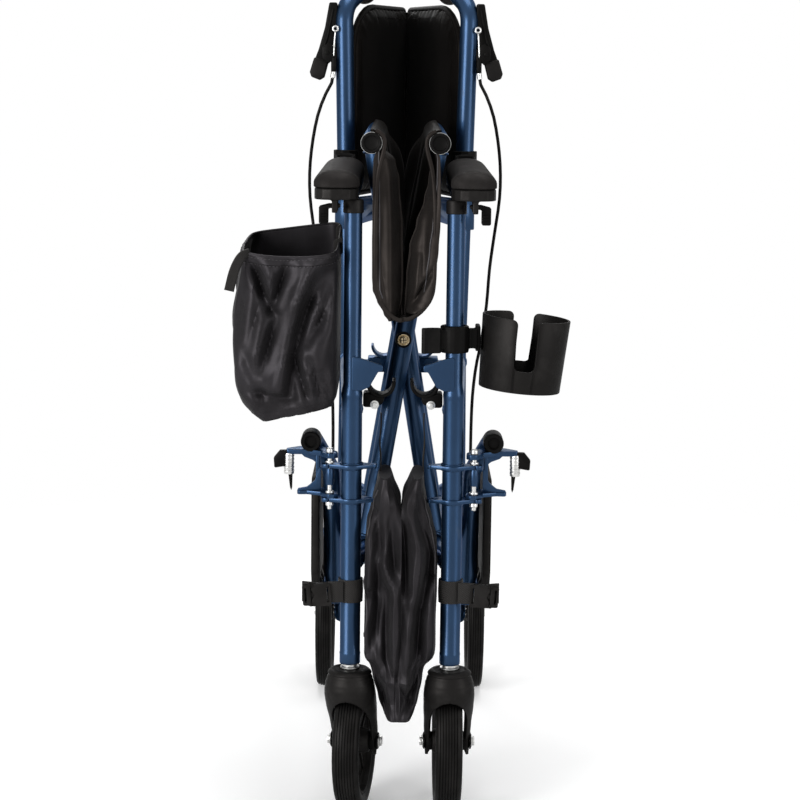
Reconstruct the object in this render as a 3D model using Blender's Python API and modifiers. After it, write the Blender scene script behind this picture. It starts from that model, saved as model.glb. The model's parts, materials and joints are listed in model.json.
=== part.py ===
"""Folding rollator transport chair, modelled folded as it stands in store.

Metres, +Z up. The chair faces -Y, its folding plane is X = 0 and it stands on Z = 0. Left is -X.
Everything is drawn in the chair's own frame, with the front legs at Y = 0. The empty that carries
it all then moves the middle of the bounding box over the origin.
"""

import math

import bmesh
import bpy
from mathutils import Matrix, Vector

# General
GAP = 0.0003                 # between pieces that touch
SIDES = 10                   # sides of a tube
PIN_SIDES = 8                # sides of a pin and of its hole
LEFT, RIGHT = -1, 1
SIDE_NAME = {LEFT: "left", RIGHT: "right"}

# Side frame: front leg and armrest post
TUBE_R = 0.0111              # 22.2 mm tube
POST_R = 0.0095
LEG_X = 0.0545               # from the folding plane, folded
LEG_BOTTOM_Z = 0.171
WELD_RING_R = 0.0128
WELD_RING_H = 0.017
POST_START_Z = 0.478
POST_TOP_Z = 0.6815
POST_CAP_R = 0.0110
POST_CAP_H = 0.015

# Side frame: rear upright, handle and rear leg, one bent tube
UPRIGHT_Y = 0.400
UPRIGHT_LOW_X, UPRIGHT_LOW_Z = 0.0680, 0.470
HANDLE_X, HANDLE_Z = 0.0555, 0.9150
UPRIGHT_HIGH_X, UPRIGHT_HIGH_Z = 0.0770, HANDLE_Z - 0.0250
HANDLE_BEND_Y = 0.046        # behind the upright
HANDLE_END_Y = 0.572
GRIP_R = 0.0160
GRIP_LENGTH = 0.110
WHEELBASE_Y = 0.528          # rear axle behind the front legs
REAR_FOOT_X, REAR_FOOT_Z = 0.0755, 0.090

# Side frame: side tubes, plates and stops
UPPER_TUBE_Z = 0.455
LOWER_TUBE_R = 0.0095        # the cross brace turns on it
LOWER_TUBE_FRONT_Y, LOWER_TUBE_BACK_Y = 0.046, 0.360
PLATE_T = 0.0040             # ring plates for the footrest
PLATE_LOW_Z, PLATE_HIGH_Z = 0.3555, 0.3925
PLATE_RING_R = 0.0145
STOP_T = 0.0034
SADDLE_R = 0.0125            # of the trough
SADDLE_WALL = 0.0030
SADDLE_LENGTH = 0.027
SADDLE_FRONT_Y, SADDLE_REAR_Y = 0.020, 0.345
SADDLE_BLOCK_H = 0.018

# Cross brace and fold
BRACE_R = 0.0111
BRACE_LOWER = 0.2376         # foot pivot to centre pivot
BRACE_UPPER = 0.2210         # centre pivot to seat rail
FOLD_TILT = math.radians(9.4)    # of the arms from upright, folded
FOOT_Z = 0.288               # height of the foot pivots
OPEN_RAIL_Z = 0.4805         # height of a seat rail in its saddles
RAIL_R = 0.0111
RAIL_FRONT_Y, RAIL_BACK_Y = -0.0045, 0.405
RAIL_BORE_R = 0.0088
PLUG_RIM = 0.0030
FRONT_BRACE_Y = 0.0850       # plane of the front arm of brace A
REAR_BRACE_Y = 0.3225        # plane of the rear arm of brace A
ARM_PITCH = 2 * BRACE_R + 0.0007     # between the planes of crossing arms
SLEEVE_WALL = 0.0027
SLEEVE_OVERHANG = 0.0150
BOLT_R = 0.0030
WASHER_R = 0.0076
HEX_R = 0.0055
HEX_H = 0.0045

# Soft goods
CLOTH_T = 0.0030
SEAT_DROP = 0.187            # from the rail's side to the lower edge
# The hanging cloth, folded: share of its drop, and distance in from the rail's axis
SEAT_HANG = ((0.20, 0.0085), (0.68, 0.0068), (0.86, 0.0130), (1.0, 0.0335))
SEAT_MARGIN = 0.0050         # between the cloth's tongues and the brace arms
WRAP_TURN = math.radians(24)     # between the rows of the cloth's wrap round its rail
BACK_BOTTOM_Z, BACK_TOP_Z = 0.6585, HANDLE_Z - 0.0350
BACK_START, BACK_LENGTH = 0.0149, 0.2280
BACK_T = 0.014
BACK_TILT = math.radians(16.3)   # from straight back, folded
STRETCHER_H, STRETCHER_T = 0.0380, 0.0050
KNUCKLE_WALL = 0.0024
BAG_HANG_Z = 0.4470          # top of the under-seat bag's straps
BAG_TOP_Z, BAG_WAIST_Z, BAG_BOTTOM_Z = 0.385, 0.180, 0.100
BAG_FRONT_Y, BAG_BACK_Y = -0.025, 0.062
BAG_INNER_X, BAG_OUTER_X, BAG_TIP_X = 0.0015, 0.0275, 0.0125
BAG_BELLY_X, BAG_BELLY_BACK_Y = 0.0395, 0.0080    # in front of the lower side tube
BAG_BELLY_LOW_Z, BAG_BELLY_HIGH_Z = 0.185, 0.335
BAG_STRAP_T, BAG_STRAP_W = 0.0016, 0.014
POCKET_IN_X, POCKET_OUT_X = 0.0693, 0.1850
POCKET_FRONT_Y, POCKET_BACK_Y = -0.042, 0.138
POCKET_BOTTOM_Z, POCKET_TOP_Z = 0.4325, 0.6480
POCKET_WALL = 0.0030

# Armrests
ARM_HINGE_Y, ARM_HINGE_Z = 0.345, POST_TOP_Z + 0.0085
COLLAR_WALL = 0.0034
COLLAR_LOW_Z, COLLAR_H = POST_TOP_Z + 0.0185, 0.017
EAR_T = 0.0030
TONGUE_W = 0.0180
ARM_PIN_R = 0.0030
PAD_IN_X, PAD_OUT_X = 0.0482, 0.0962
PAD_FRONT_Y, PAD_BACK_Y = -0.036, 0.312
BASE_T = 0.0122
PAD_H = 0.0185
LATCH_HINGE_X, LATCH_HINGE_Z = 0.0735, POST_TOP_Z - 0.0100
LATCH_FRONT_Y, LATCH_BACK_Y = -0.030, -0.002

# Footrests
PIN_X = 0.0777
PIN_R = 0.0030
PIN_HEAD_R = 0.0062
HANGER_R = 0.0098
HANGER_X, HANGER_Z = 0.0990, 0.4176
HANGER_FRONT_Y = 0.0130
HANGER_PLATE_T = 0.0050
HANGER_PLATE_Z = 0.4035
FOOTPLATE_X = 0.0970         # middle of the stored plate
FOOTPLATE_T = 0.0090
FOOTPLATE_FRONT_Y, FOOTPLATE_BACK_Y = 0.096, 0.236
FOOTPLATE_TOP_Z = 0.362
FOOT_HINGE_X, FOOT_HINGE_Y, FOOT_HINGE_Z = 0.0895, 0.158, 0.214
FOOT_PIN_R = 0.0035
FOOT_BLOCK_Y = 0.0100        # half the hinge block's length
KNOB_Y, KNOB_W = 0.0205, 0.0085

# Wheels
STEM_R = 0.0040
STEM_H = 0.034
FORK_TOP_Z = 0.1705
FORK_CROWN_R = 0.0230
FORK_WIDTH = 0.047
FORK_SLOT = 0.0340
FRONT_WHEEL_R = 0.0760
FRONT_TYRE_W = 0.0295
FRONT_RIM_R = 0.0600
CASTER_TRAIL = 0.0400
CASTER_TURN = {LEFT: math.radians(-8.0), RIGHT: math.radians(-1.0)}
REAR_WHEEL_R = 0.1000
REAR_TYRE_W = 0.0210
REAR_RIM_R = 0.0840
REAR_WHEEL_X = 0.0990        # middle of the tyre
AXLE_R = 0.0040
SPOKES = 5
WHEEL_SIDES = 20

# Brakes
CLAMP_WALL = 0.0024
CLAMP_LOW_Z, CLAMP_H = HANDLE_Z - 0.0890, 0.016
LEVER_HINGE_Y, LEVER_HINGE_Z = UPRIGHT_Y + 0.003, CLAMP_LOW_Z + CLAMP_H / 2
LEVER_KNEE_Z, LEVER_TIP_Z = LEVER_HINGE_Z - 0.019, LEVER_HINGE_Z + 0.011    # of its inner edge
LEVER_CHIN_Z, LEVER_TOP_Z = LEVER_HINGE_Z - 0.016, LEVER_HINGE_Z + 0.062    # of its outer edge
LEVER_T = 0.0140
LEVER_WIRE_R = 0.0045
CABLE_R = 0.0025
SHOE_HINGE_Y, SHOE_HINGE_Z = WHEELBASE_Y - 0.0580, 0.2200
SHOE_T = 0.0050
SHOE_GAP = 0.0050            # pad to tyre, brake off

# Cup holder and storage straps
CUP_X, CUP_Y = 0.1300, 0.020
CUP_R, CUP_WALL = 0.0475, 0.0025
CUP_LOW_Z, CUP_HIGH_Z = 0.480, 0.560
CUP_SLOT_W, CUP_SLOT_Z = 0.022, 0.505
CUP_CLAMP_R = 0.0155
CUP_CLAMP_Z, CUP_CLAMP_H = 0.5190, 0.029
STRAP_Z, STRAP_H, STRAP_WALL = 0.2455, 0.0250, 0.0020

PARTS = bpy.data.collections.new("rollator_transport_chair")
CUTTERS = bpy.data.collections.new("cutters")

# Colour, roughness, metallic
FINISHES = {
    "blue_paint": ((0.035, 0.125, 0.270), 0.28, 0.65),
    "black_plastic": ((0.020, 0.020, 0.022), 0.45, 0.0),
    "soft_black": ((0.030, 0.030, 0.034), 0.80, 0.0),
    "black_cloth": ((0.026, 0.026, 0.034), 0.90, 0.0),
    "rubber": ((0.055, 0.055, 0.058), 0.75, 0.0),
    "grey_plastic": ((0.12, 0.12, 0.13), 0.50, 0.0),
    "zinc": ((0.62, 0.62, 0.64), 0.25, 1.0),
    "brass": ((0.60, 0.45, 0.22), 0.30, 1.0),
}


def clear_scene():
    """Remove what the startup file holds and link the two collections."""
    for old in list(bpy.data.objects):
        bpy.data.objects.remove(old, do_unlink=True)
    bpy.context.scene.collection.children.link(PARTS)
    bpy.context.scene.collection.children.link(CUTTERS)


def material(name):
    """The Principled material of a finish, made once."""
    made = bpy.data.materials.get(name)
    if made:
        return made
    colour, roughness, metallic = FINISHES[name]
    made = bpy.data.materials.new(name)
    made.use_nodes = True
    made.diffuse_color = (*colour, 1.0)
    shader = made.node_tree.nodes["Principled BSDF"]
    shader.inputs["Base Color"].default_value = (*colour, 1.0)
    shader.inputs["Roughness"].default_value = roughness
    shader.inputs["Metallic"].default_value = metallic
    return made


# Places that several pieces share


def foot_x():
    """X of a foot pivot with the chair folded."""
    return BRACE_LOWER * math.sin(FOLD_TILT)


def rail_x():
    """X of a seat rail with the chair folded."""
    return BRACE_UPPER * math.sin(FOLD_TILT)


def rail_z():
    """Z of the seat rails with the chair folded."""
    return FOOT_Z + (BRACE_LOWER + BRACE_UPPER) * math.cos(FOLD_TILT)


def saddle_x():
    """X of the saddles, where a seat rail comes down when the chair is open."""
    cosine = (OPEN_RAIL_Z - FOOT_Z) / (BRACE_LOWER + BRACE_UPPER)
    return foot_x() - (BRACE_LOWER - BRACE_UPPER) * math.sin(math.acos(cosine))


def upright_x(z):
    """X of the rear upright at a height: it leans out towards the handle."""
    share = (z - UPRIGHT_LOW_Z) / (UPRIGHT_HIGH_Z - UPRIGHT_LOW_Z)
    return UPRIGHT_LOW_X + (UPRIGHT_HIGH_X - UPRIGHT_LOW_X) * share


def rear_leg(z):
    """X and Y of the rear leg at a height."""
    share = (UPRIGHT_LOW_Z - z) / (UPRIGHT_LOW_Z - REAR_FOOT_Z)
    return (UPRIGHT_LOW_X + (REAR_FOOT_X - UPRIGHT_LOW_X) * share,
            UPRIGHT_Y + (WHEELBASE_Y - UPRIGHT_Y) * share)


def bore(radius, sides=SIDES):
    """Radius of a faceted bore that a faceted pin of this radius turns in freely."""
    return (radius + GAP) / math.cos(math.pi / sides)


# Shapes


def add(name, mesh):
    """Link a mesh as a hidden helper, which publish turns into a part."""
    made = bpy.data.objects.new(name, mesh)
    made.hide_render = True
    made.display_type = "WIRE"
    CUTTERS.objects.link(made)
    return made


def from_form(name, form):
    """A helper object from a bmesh, which is freed."""
    bmesh.ops.remove_doubles(form, verts=form.verts, dist=1e-6)
    bmesh.ops.recalc_face_normals(form, faces=form.faces)
    mesh = bpy.data.meshes.new(name)
    form.to_mesh(mesh)
    form.free()
    return add(name, mesh)


def from_curve(curve):
    """A helper object from a curve data block, with its caps welded."""
    holder = bpy.data.objects.new(curve.name, curve)
    CUTTERS.objects.link(holder)
    graph = bpy.context.evaluated_depsgraph_get()
    mesh = bpy.data.meshes.new_from_object(holder.evaluated_get(graph))
    bpy.data.objects.remove(holder, do_unlink=True)
    form = bmesh.new()
    form.from_mesh(mesh)
    bpy.data.meshes.remove(mesh)
    return from_form(curve.name, form)


def bent(points, radius, steps=3):
    """Points of a bent tube's centre line: each inner corner becomes an arc of this radius."""
    corners = [Vector(p) for p in points]
    path = [corners[0]]
    for before, corner, after in zip(corners, corners[1:], corners[2:]):
        into = (before - corner).normalized()
        out = (after - corner).normalized()
        half = into.angle(out) / 2
        reach = min(radius / math.tan(half), (before - corner).length * 0.49,
                    (after - corner).length * 0.49)
        arc_r = reach * math.tan(half)
        centre = corner + (into + out).normalized() * (arc_r / math.sin(half))
        start, end = corner + into * reach - centre, corner + out * reach - centre
        turn = start.angle(end)
        for step in range(steps + 1):
            share = step / steps
            first = math.sin((1 - share) * turn) / math.sin(turn)
            second = math.sin(share * turn) / math.sin(turn)
            path.append(centre + start * first + end * second)
    path.append(corners[-1])
    return path


def tube_curve(name, path, radius, sides=SIDES):
    """A curve through the points, with a round section and filled caps."""
    curve = bpy.data.curves.new(name, "CURVE")
    curve.dimensions = "3D"
    curve.bevel_depth = radius
    curve.bevel_resolution = sides // 2 - 2
    curve.use_fill_caps = True
    spline = curve.splines.new("POLY")
    spline.points.add(len(path) - 1)
    for point, place in zip(spline.points, path):
        point.co = (*place, 1.0)
    return curve


def tube(name, path, radius, sides=SIDES):
    """A bent tube as a closed mesh."""
    return from_curve(tube_curve(name, path, radius, sides))


def rod(name, start, end, radius, end_radius=None, sides=SIDES):
    """A cylinder or cone between two points."""
    start, end = Vector(start), Vector(end)
    line = end - start
    turn = Vector((0, 0, 1)).rotation_difference(line).to_matrix().to_4x4()
    form = bmesh.new()
    bmesh.ops.create_cone(
        form, cap_ends=True, segments=sides, radius1=radius,
        radius2=radius if end_radius is None else end_radius, depth=line.length,
        matrix=Matrix.Translation((start + end) / 2) @ turn)
    return from_form(name, form)


def box(name, low, high):
    """A box between two corners, in any order."""
    low, high = Vector(low), Vector(high)
    size = [abs(b - a) for a, b in zip(low, high)]
    form = bmesh.new()
    bmesh.ops.create_cube(form, matrix=Matrix.Translation((low + high) / 2) @ Matrix.Diagonal((*size, 1.0)))
    return from_form(name, form)


def plate(name, outline, normal, low, high):
    """A flat outline, filled and given its thickness along X, Y or Z between low and high.

    The outline's two numbers are the other two coordinates, in the order X, Y, Z.
    """
    curve = bpy.data.curves.new(name, "CURVE")
    curve.dimensions = "2D"
    curve.fill_mode = "BOTH"
    curve.extrude = abs(high - low) / 2
    spline = curve.splines.new("POLY")
    spline.points.add(len(outline) - 1)
    spline.use_cyclic_u = True
    for point, (u, v) in zip(spline.points, outline):
        point.co = (u, v, 0.0, 1.0)
    made = from_curve(curve)
    middle = (low + high) / 2
    turn = {
        "X": Matrix(((0, 0, 1, middle), (1, 0, 0, 0), (0, 1, 0, 0), (0, 0, 0, 1))),
        "Y": Matrix(((1, 0, 0, 0), (0, 0, -1, middle), (0, 1, 0, 0), (0, 0, 0, 1))),
        "Z": Matrix.Translation((0, 0, middle)),
    }[normal]
    made.data.transform(turn)
    return made


def rounded(outline, radius, steps=1):
    """A closed outline with each corner rounded."""
    closed = [Vector((*outline[-1], 0))] + [Vector((*p, 0)) for p in outline] + [Vector((*outline[0], 0))]
    arcs = bent(closed, radius, steps)[1:-1]
    return [(p.x, p.y) for p in arcs]


def arc(centre, radius, start, end, steps):
    """Points of a flat arc, with its angles in degrees."""
    turns = [math.radians(start + (end - start) * step / steps) for step in range(steps + 1)]
    return [(centre[0] + radius * math.cos(t), centre[1] + radius * math.sin(t)) for t in turns]


def mirrored(outline, side):
    """An outline whose first number is X, turned over for the left side."""
    return [(side * x, y) for x, y in outline]


def turned(name, profile, steps=SIDES):
    """A turned shape about its own Z: (radius, z) points that run down the outer side."""
    form = bmesh.new()
    closed = profile[0] == profile[-1]
    verts = [form.verts.new((r, 0, z)) for r, z in (profile[:-1] if closed else profile)]
    if closed:
        verts.append(verts[0])
    for a, b in zip(verts, verts[1:]):
        form.edges.new((a, b))
    mesh = bpy.data.meshes.new(name)
    form.to_mesh(mesh)
    form.free()
    made = add(name, mesh)
    screw = made.modifiers.new("turn", "SCREW")
    screw.steps = screw.render_steps = steps
    screw.use_merge_vertices = True
    screw.merge_threshold = 0.00001
    screw.use_normal_calculate = False
    return made


def ring_profile(inner, outer, low, high):
    """Closed profile of a plain ring."""
    return [(inner, high), (outer, high), (outer, low), (inner, low), (inner, high)]


def combine(target, operation, tools):
    """Join the tools to the target, or cut them from it. They then follow the target."""
    for tool in tools:
        tool.parent = target
        step = target.modifiers.new(tool.name, "BOOLEAN")
        step.operation = operation
        step.solver = "EXACT"
        step.object = tool
    return target


def join(target, *tools):
    """Weld the tools to the target."""
    return combine(target, "UNION", tools)


def cut(target, *tools):
    """Cut the tools from the target."""
    return combine(target, "DIFFERENCE", tools)


def soften(target, width, angle=40, segments=1):
    """Round the sharp edges."""
    bevel = target.modifiers.new("edge", "BEVEL")
    bevel.width = width
    bevel.segments = segments
    bevel.limit_method = "ANGLE"
    bevel.angle_limit = math.radians(angle)
    return target


def publish(made, name, finish, carrier=None):
    """Make a helper one of the chair's parts, carried by an empty if one is given."""
    made.name = name
    made.data.name = name
    made.data.materials.clear()
    made.data.materials.append(material(finish))
    CUTTERS.objects.unlink(made)
    PARTS.objects.link(made)
    made.hide_render = False
    made.display_type = "TEXTURED"
    made.data.shade_smooth()
    made.data.set_sharp_from_angle(angle=math.radians(35))
    if carrier:
        carry(made, carrier)
    return made


def pivot(name, place):
    """An empty on a joint's axis."""
    made = bpy.data.objects.new(name, None)
    made.empty_display_size = 0.02
    made.location = place
    PARTS.objects.link(made)
    return made


def carry(made, carrier):
    """Parent a part that is drawn in the chair's own frame to an empty that isn't turned."""
    made.parent = carrier
    made.matrix_parent_inverse = Matrix.Translation(-carrier.location)


# Side frames


def ring_plate(side, low):
    """Outline of a plate round the front leg, with an ear on either side."""
    outer = [(PIN_X + 0.003, -0.0080), (PIN_X + 0.0085, -0.0040), (PIN_X + 0.0085, 0.0040),
             (PIN_X + 0.003, 0.0080)]
    back = arc((LEG_X, 0), PLATE_RING_R, 47, 133, 2)
    inner = [(LEG_X - 0.0238, 0.0065), (LEG_X - 0.0272, 0.0030), (LEG_X - 0.0272, -0.0030),
             (LEG_X - 0.0238, -0.0065)]
    front = arc((LEG_X, 0), PLATE_RING_R, 227, 313, 2)
    outline = mirrored(outer + back + inner + front, side)
    made = plate("ring_plate", outline, "Z", low, low + PLATE_T)
    pin_hole = rod("pin_hole", (side * PIN_X, 0, low - 0.01), (side * PIN_X, 0, low + 0.02),
                   bore(PIN_R, PIN_SIDES), sides=PIN_SIDES)
    ear_x = side * (LEG_X - 0.0225)
    ear_hole = rod("ear_hole", (ear_x, 0, low - 0.01), (ear_x, 0, low + 0.02), 0.0024, sides=6)
    return cut(made, pin_hole, ear_hole)


def saddle_trough(side, front):
    """The U that a seat rail drops into, with its foot reaching to the upper side tube."""
    back = front + SADDLE_LENGTH
    x, z = side * saddle_x(), OPEN_RAIL_Z
    shell = rod("saddle_shell", (x, front, z), (x, back, z), SADDLE_R + SADDLE_WALL, sides=12)
    foot_low = UPPER_TUBE_Z - 0.0075
    foot = box("saddle_foot", (x, front, foot_low),
               (side * (LEG_X - TUBE_R - GAP), back, foot_low + SADDLE_BLOCK_H))
    top = box("saddle_top", (x - 0.03, front - 0.01, z), (x + 0.03, back + 0.01, z + 0.03))
    trough = rod("saddle_bore", (x, front - 0.01, z), (x, back + 0.01, z), SADDLE_R, sides=12)
    return cut(join(shell, foot), top, trough)


def side_frame(side):
    """Front leg and post, bent rear tube, side tubes, ring plates, rail stop, rear saddle and axle."""
    post_cap = POST_TOP_Z - POST_CAP_H
    bottom = LEG_BOTTOM_Z
    frame = turned("leg", [
        (0, POST_TOP_Z), (POST_CAP_R - 0.002, POST_TOP_Z), (POST_CAP_R, POST_TOP_Z - 0.002),
        (POST_CAP_R, post_cap), (POST_R, post_cap), (POST_R, POST_START_Z),
        (TUBE_R + 0.0012, POST_START_Z - 0.004),
        (TUBE_R + 0.0012, POST_START_Z - 0.010), (TUBE_R, POST_START_Z - 0.012),
        (TUBE_R, bottom + WELD_RING_H), (WELD_RING_R, bottom + WELD_RING_H), (WELD_RING_R, bottom),
        (bore(STEM_R), bottom), (bore(STEM_R), bottom + STEM_H + 0.002), (0, bottom + STEM_H + 0.002)])
    frame.data.transform(Matrix.Translation((side * LEG_X, 0, 0)))
    frame.modifiers["turn"].object = leg_axis(side)
    axle_x, axle_z = side * REAR_FOOT_X, REAR_WHEEL_R
    rear = tube("rear_tube", bent([
        (side * REAR_FOOT_X, WHEELBASE_Y, REAR_FOOT_Z), (side * UPRIGHT_LOW_X, UPRIGHT_Y, UPRIGHT_LOW_Z),
        (side * UPRIGHT_HIGH_X, UPRIGHT_Y, UPRIGHT_HIGH_Z),
        (side * HANDLE_X, UPRIGHT_Y + HANDLE_BEND_Y, HANDLE_Z), (side * HANDLE_X, HANDLE_END_Y, HANDLE_Z)],
        0.030), TUBE_R)
    upper = rod("upper_tube", (side * LEG_X, 0, UPPER_TUBE_Z),
                (side * upright_x(UPPER_TUBE_Z + 0.02), UPRIGHT_Y + 0.004, UPPER_TUBE_Z), TUBE_R - 0.0004)
    end_x, end_y = rear_leg(FOOT_Z)
    lower = tube("lower_tube", bent([
        (side * LEG_X, 0, FOOT_Z), (side * foot_x(), LOWER_TUBE_FRONT_Y, FOOT_Z),
        (side * foot_x(), LOWER_TUBE_BACK_Y, FOOT_Z), (side * end_x, end_y, FOOT_Z)], 0.030), LOWER_TUBE_R)
    stop_x = saddle_x()
    stop_outline = rounded(mirrored([
        (LEG_X, 0.478), (LEG_X, 0.515), (LEG_X - 0.009, 0.513), (stop_x - 0.002, 0.505),
        (stop_x - 0.002, 0.499),
        (stop_x + 0.003, 0.498), (stop_x + 0.012, 0.482), (stop_x + 0.020, 0.478)], side), 0.0015)
    stop = plate("stop", stop_outline, "Y", RAIL_FRONT_Y - PLUG_RIM - 0.0008 - STOP_T,
                 RAIL_FRONT_Y - PLUG_RIM - 0.0008)
    hub = rod("hub", (axle_x, WHEELBASE_Y, axle_z),
              (side * (REAR_WHEEL_X - REAR_TYRE_W / 2 - 0.0012), WHEELBASE_Y, axle_z), 0.0090)
    nut_x = REAR_WHEEL_X + REAR_TYRE_W / 2 + GAP
    axle = rod("axle", (axle_x, WHEELBASE_Y, axle_z), (side * (nut_x + 0.001), WHEELBASE_Y, axle_z),
               AXLE_R, sides=PIN_SIDES)
    nut = rod("nut", (side * nut_x, WHEELBASE_Y, axle_z), (side * (nut_x + 0.004), WHEELBASE_Y, axle_z),
              0.0070, sides=6)
    join(frame, rear, upper, lower, ring_plate(side, PLATE_LOW_Z), ring_plate(side, PLATE_HIGH_Z), stop,
         rear_saddle(side), hub, axle, nut, *brake_bracket(side))
    return publish(frame, "side_frame_" + SIDE_NAME[side], "blue_paint")


def leg_axis(side):
    """An empty on the front leg's axis, which the leg is turned about."""
    name = "leg_axis_" + SIDE_NAME[side]
    return bpy.data.objects.get(name) or pivot(name, (side * LEG_X, 0, 0))


def rear_saddle(side):
    """The rear saddle, whose foot is welded to the upper side tube."""
    trough = saddle_trough(side, SADDLE_REAR_Y)
    low = UPPER_TUBE_Z - 0.0055
    weld = box("saddle_weld", (side * (LEG_X - TUBE_R - 0.003), SADDLE_REAR_Y + 0.002, low),
               (side * (LEG_X + 0.006), SADDLE_REAR_Y + SADDLE_LENGTH - 0.002, low + 0.011))
    return join(trough, weld)


def brake_bracket(side):
    """Pin that carries the brake shoe, and the stop that the cable ends in, both on the rear leg."""
    x, y = rear_leg(SHOE_HINGE_Z)
    z = SHOE_HINGE_Z
    inner, outer = shoe_x()
    plate_outline = rounded([(y - 0.004, z - 0.016), (y - 0.004, z + 0.020),
                             (SHOE_HINGE_Y - 0.004, z + 0.008),
                             (SHOE_HINGE_Y - 0.008, z - 0.002), (SHOE_HINGE_Y - 0.002, z - 0.008)], 0.003)
    web = plate("shoe_web", plate_outline, "X", side * (x + 0.002), side * (inner - GAP))
    pin = rod("shoe_pin", (side * (inner - 0.003), SHOE_HINGE_Y, z),
              (side * (outer + GAP + 0.0005), SHOE_HINGE_Y, z), 0.0032, sides=PIN_SIDES)
    head = rod("shoe_head", (side * (outer + GAP), SHOE_HINGE_Y, z),
               (side * (outer + GAP + 0.003), SHOE_HINGE_Y, z), 0.0055, sides=PIN_SIDES)
    stop_x, stop_y, stop_z = cable_end(side)
    barrel = rod("cable_stop", (stop_x, stop_y + 0.0045, stop_z - 0.014), (stop_x, stop_y, stop_z - GAP),
                 0.0045, sides=8)
    arm_x, arm_y = rear_leg(stop_z - 0.008)
    arm = plate("stop_arm", [(side * arm_x, arm_y - 0.005), (side * arm_x, arm_y + 0.005),
                             (stop_x, stop_y + 0.0060),
                             (stop_x, stop_y + 0.0010)], "Z", stop_z - 0.0115, stop_z - 0.0055)
    return web, pin, head, barrel, arm


def hand_grip(side):
    """Moulded grip on the handle, with a flared end and finger ridges."""
    length = GRIP_LENGTH
    hole = bore(TUBE_R)
    ridges = []
    for index in range(3):
        start = length * (0.82 - 0.24 * index)
        ridges += [(GRIP_R, start), (GRIP_R - 0.0010, start - length * 0.045),
                   (GRIP_R, start - length * 0.09)]
    grip = turned("grip", [
        (0, length + 0.004), (GRIP_R - 0.004, length + 0.004), (GRIP_R + 0.0005, length), *ridges,
        (GRIP_R + 0.0020, length * 0.04), (GRIP_R + 0.0020, 0), (hole, 0), (hole, length), (0, length)])
    grip.rotation_euler = (math.radians(-90), 0, 0)
    grip.location = (side * HANDLE_X, HANDLE_END_Y + GAP - length, HANDLE_Z)
    return publish(grip, "hand_grip_" + SIDE_NAME[side], "soft_black")


# Cross braces


def brace(name, side, pitch):
    """A brace that turns on one lower side tube and carries the other side's seat rail.

    It is drawn upright about its foot pivot and then leans over the folding plane.
    """
    front, rear = FRONT_BRACE_Y + pitch, REAR_BRACE_Y - pitch
    length = BRACE_LOWER + BRACE_UPPER
    sleeve_r = bore(LOWER_TUBE_R) + SLEEVE_WALL
    sleeve = rod("sleeve", (0, front - SLEEVE_OVERHANG, 0), (0, rear + SLEEVE_OVERHANG, 0), sleeve_r)
    arms = [rod("arm", (0, y, 0), (0, y, length), BRACE_R) for y in (front, rear)]
    rail = rod("rail", (0, RAIL_FRONT_Y, length), (0, RAIL_BACK_Y, length), RAIL_R, sides=16)
    hole = rod("sleeve_bore", (0, front - 0.05, 0), (0, rear + 0.05, 0), bore(LOWER_TUBE_R))
    socket = rod("rail_bore", (0, RAIL_FRONT_Y - 0.01, length), (0, RAIL_FRONT_Y + 0.014, length),
                 RAIL_BORE_R)
    holes = [rod("bolt_hole", (0, y - 0.02, BRACE_LOWER), (0, y + 0.02, BRACE_LOWER),
                 bore(BOLT_R, PIN_SIDES), sides=PIN_SIDES)
             for y in (front, rear)]
    cut(join(sleeve, *arms, rail), hole, socket, *holes)
    sleeve.location = (side * foot_x(), 0, FOOT_Z)
    sleeve.rotation_euler = (0, -side * FOLD_TILT, 0)
    return publish(sleeve, name, "blue_paint")


def rail_plug(side):
    """Black end plug of a seat rail, with a raised rim."""
    stub = RAIL_BORE_R * math.cos(math.pi / SIDES) - GAP
    plug = turned("plug", [
        (0, 0.0012), (RAIL_R - 0.0035, 0.0012), (RAIL_R - 0.0025, PLUG_RIM), (RAIL_R - 0.0008, PLUG_RIM),
        (RAIL_R, PLUG_RIM - 0.0008), (RAIL_R, GAP), (stub, GAP), (stub, -0.011), (0, -0.011)], 16)
    plug.rotation_euler = (math.radians(90), 0, 0)
    plug.location = (side * rail_x(), RAIL_FRONT_Y, rail_z())
    return publish(plug, "rail_plug_" + SIDE_NAME[side], "black_plastic")


def pivot_bolt(name, outer_y, way):
    """Bolt through two crossing arms, with a washer and a head in front and a nut behind.

    Its Y runs from the plane of the outer arm towards the other arm, which is way.
    """
    z = FOOT_Z + BRACE_LOWER * math.cos(FOLD_TILT)
    reach = BRACE_R + GAP
    grip = ARM_PITCH + reach
    shank = rod("shank", (0, outer_y - way * (reach + 0.002), z), (0, outer_y + way * (grip + 0.006), z),
                BOLT_R, sides=8)
    washer = rod("washer", (0, outer_y - way * (reach + 0.0014), z), (0, outer_y - way * reach, z),
                 WASHER_R, sides=16)
    head = rod("head", (0, outer_y - way * (reach + HEX_H), z), (0, outer_y - way * (reach + 0.001), z),
               HEX_R, sides=6)
    nut = rod("nut", (0, outer_y + way * grip, z), (0, outer_y + way * (grip + 0.005), z), HEX_R, sides=6)
    return publish(join(shank, washer, head, nut), name, "brass")


def front_saddle(side):
    """Black front saddle, bolted beside the upper side tube."""
    trough = saddle_trough(side, SADDLE_FRONT_Y)
    bolt_z = UPPER_TUBE_Z - 0.001
    bolt_x = side * (saddle_x() + 0.010)
    head = rod("saddle_bolt", (bolt_x, SADDLE_FRONT_Y - 0.0022, bolt_z),
               (bolt_x, SADDLE_FRONT_Y + 0.002, bolt_z), 0.0038, sides=6)
    return publish(join(trough, head), "seat_saddle_front_" + SIDE_NAME[side], "black_plastic")


# Soft goods


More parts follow.
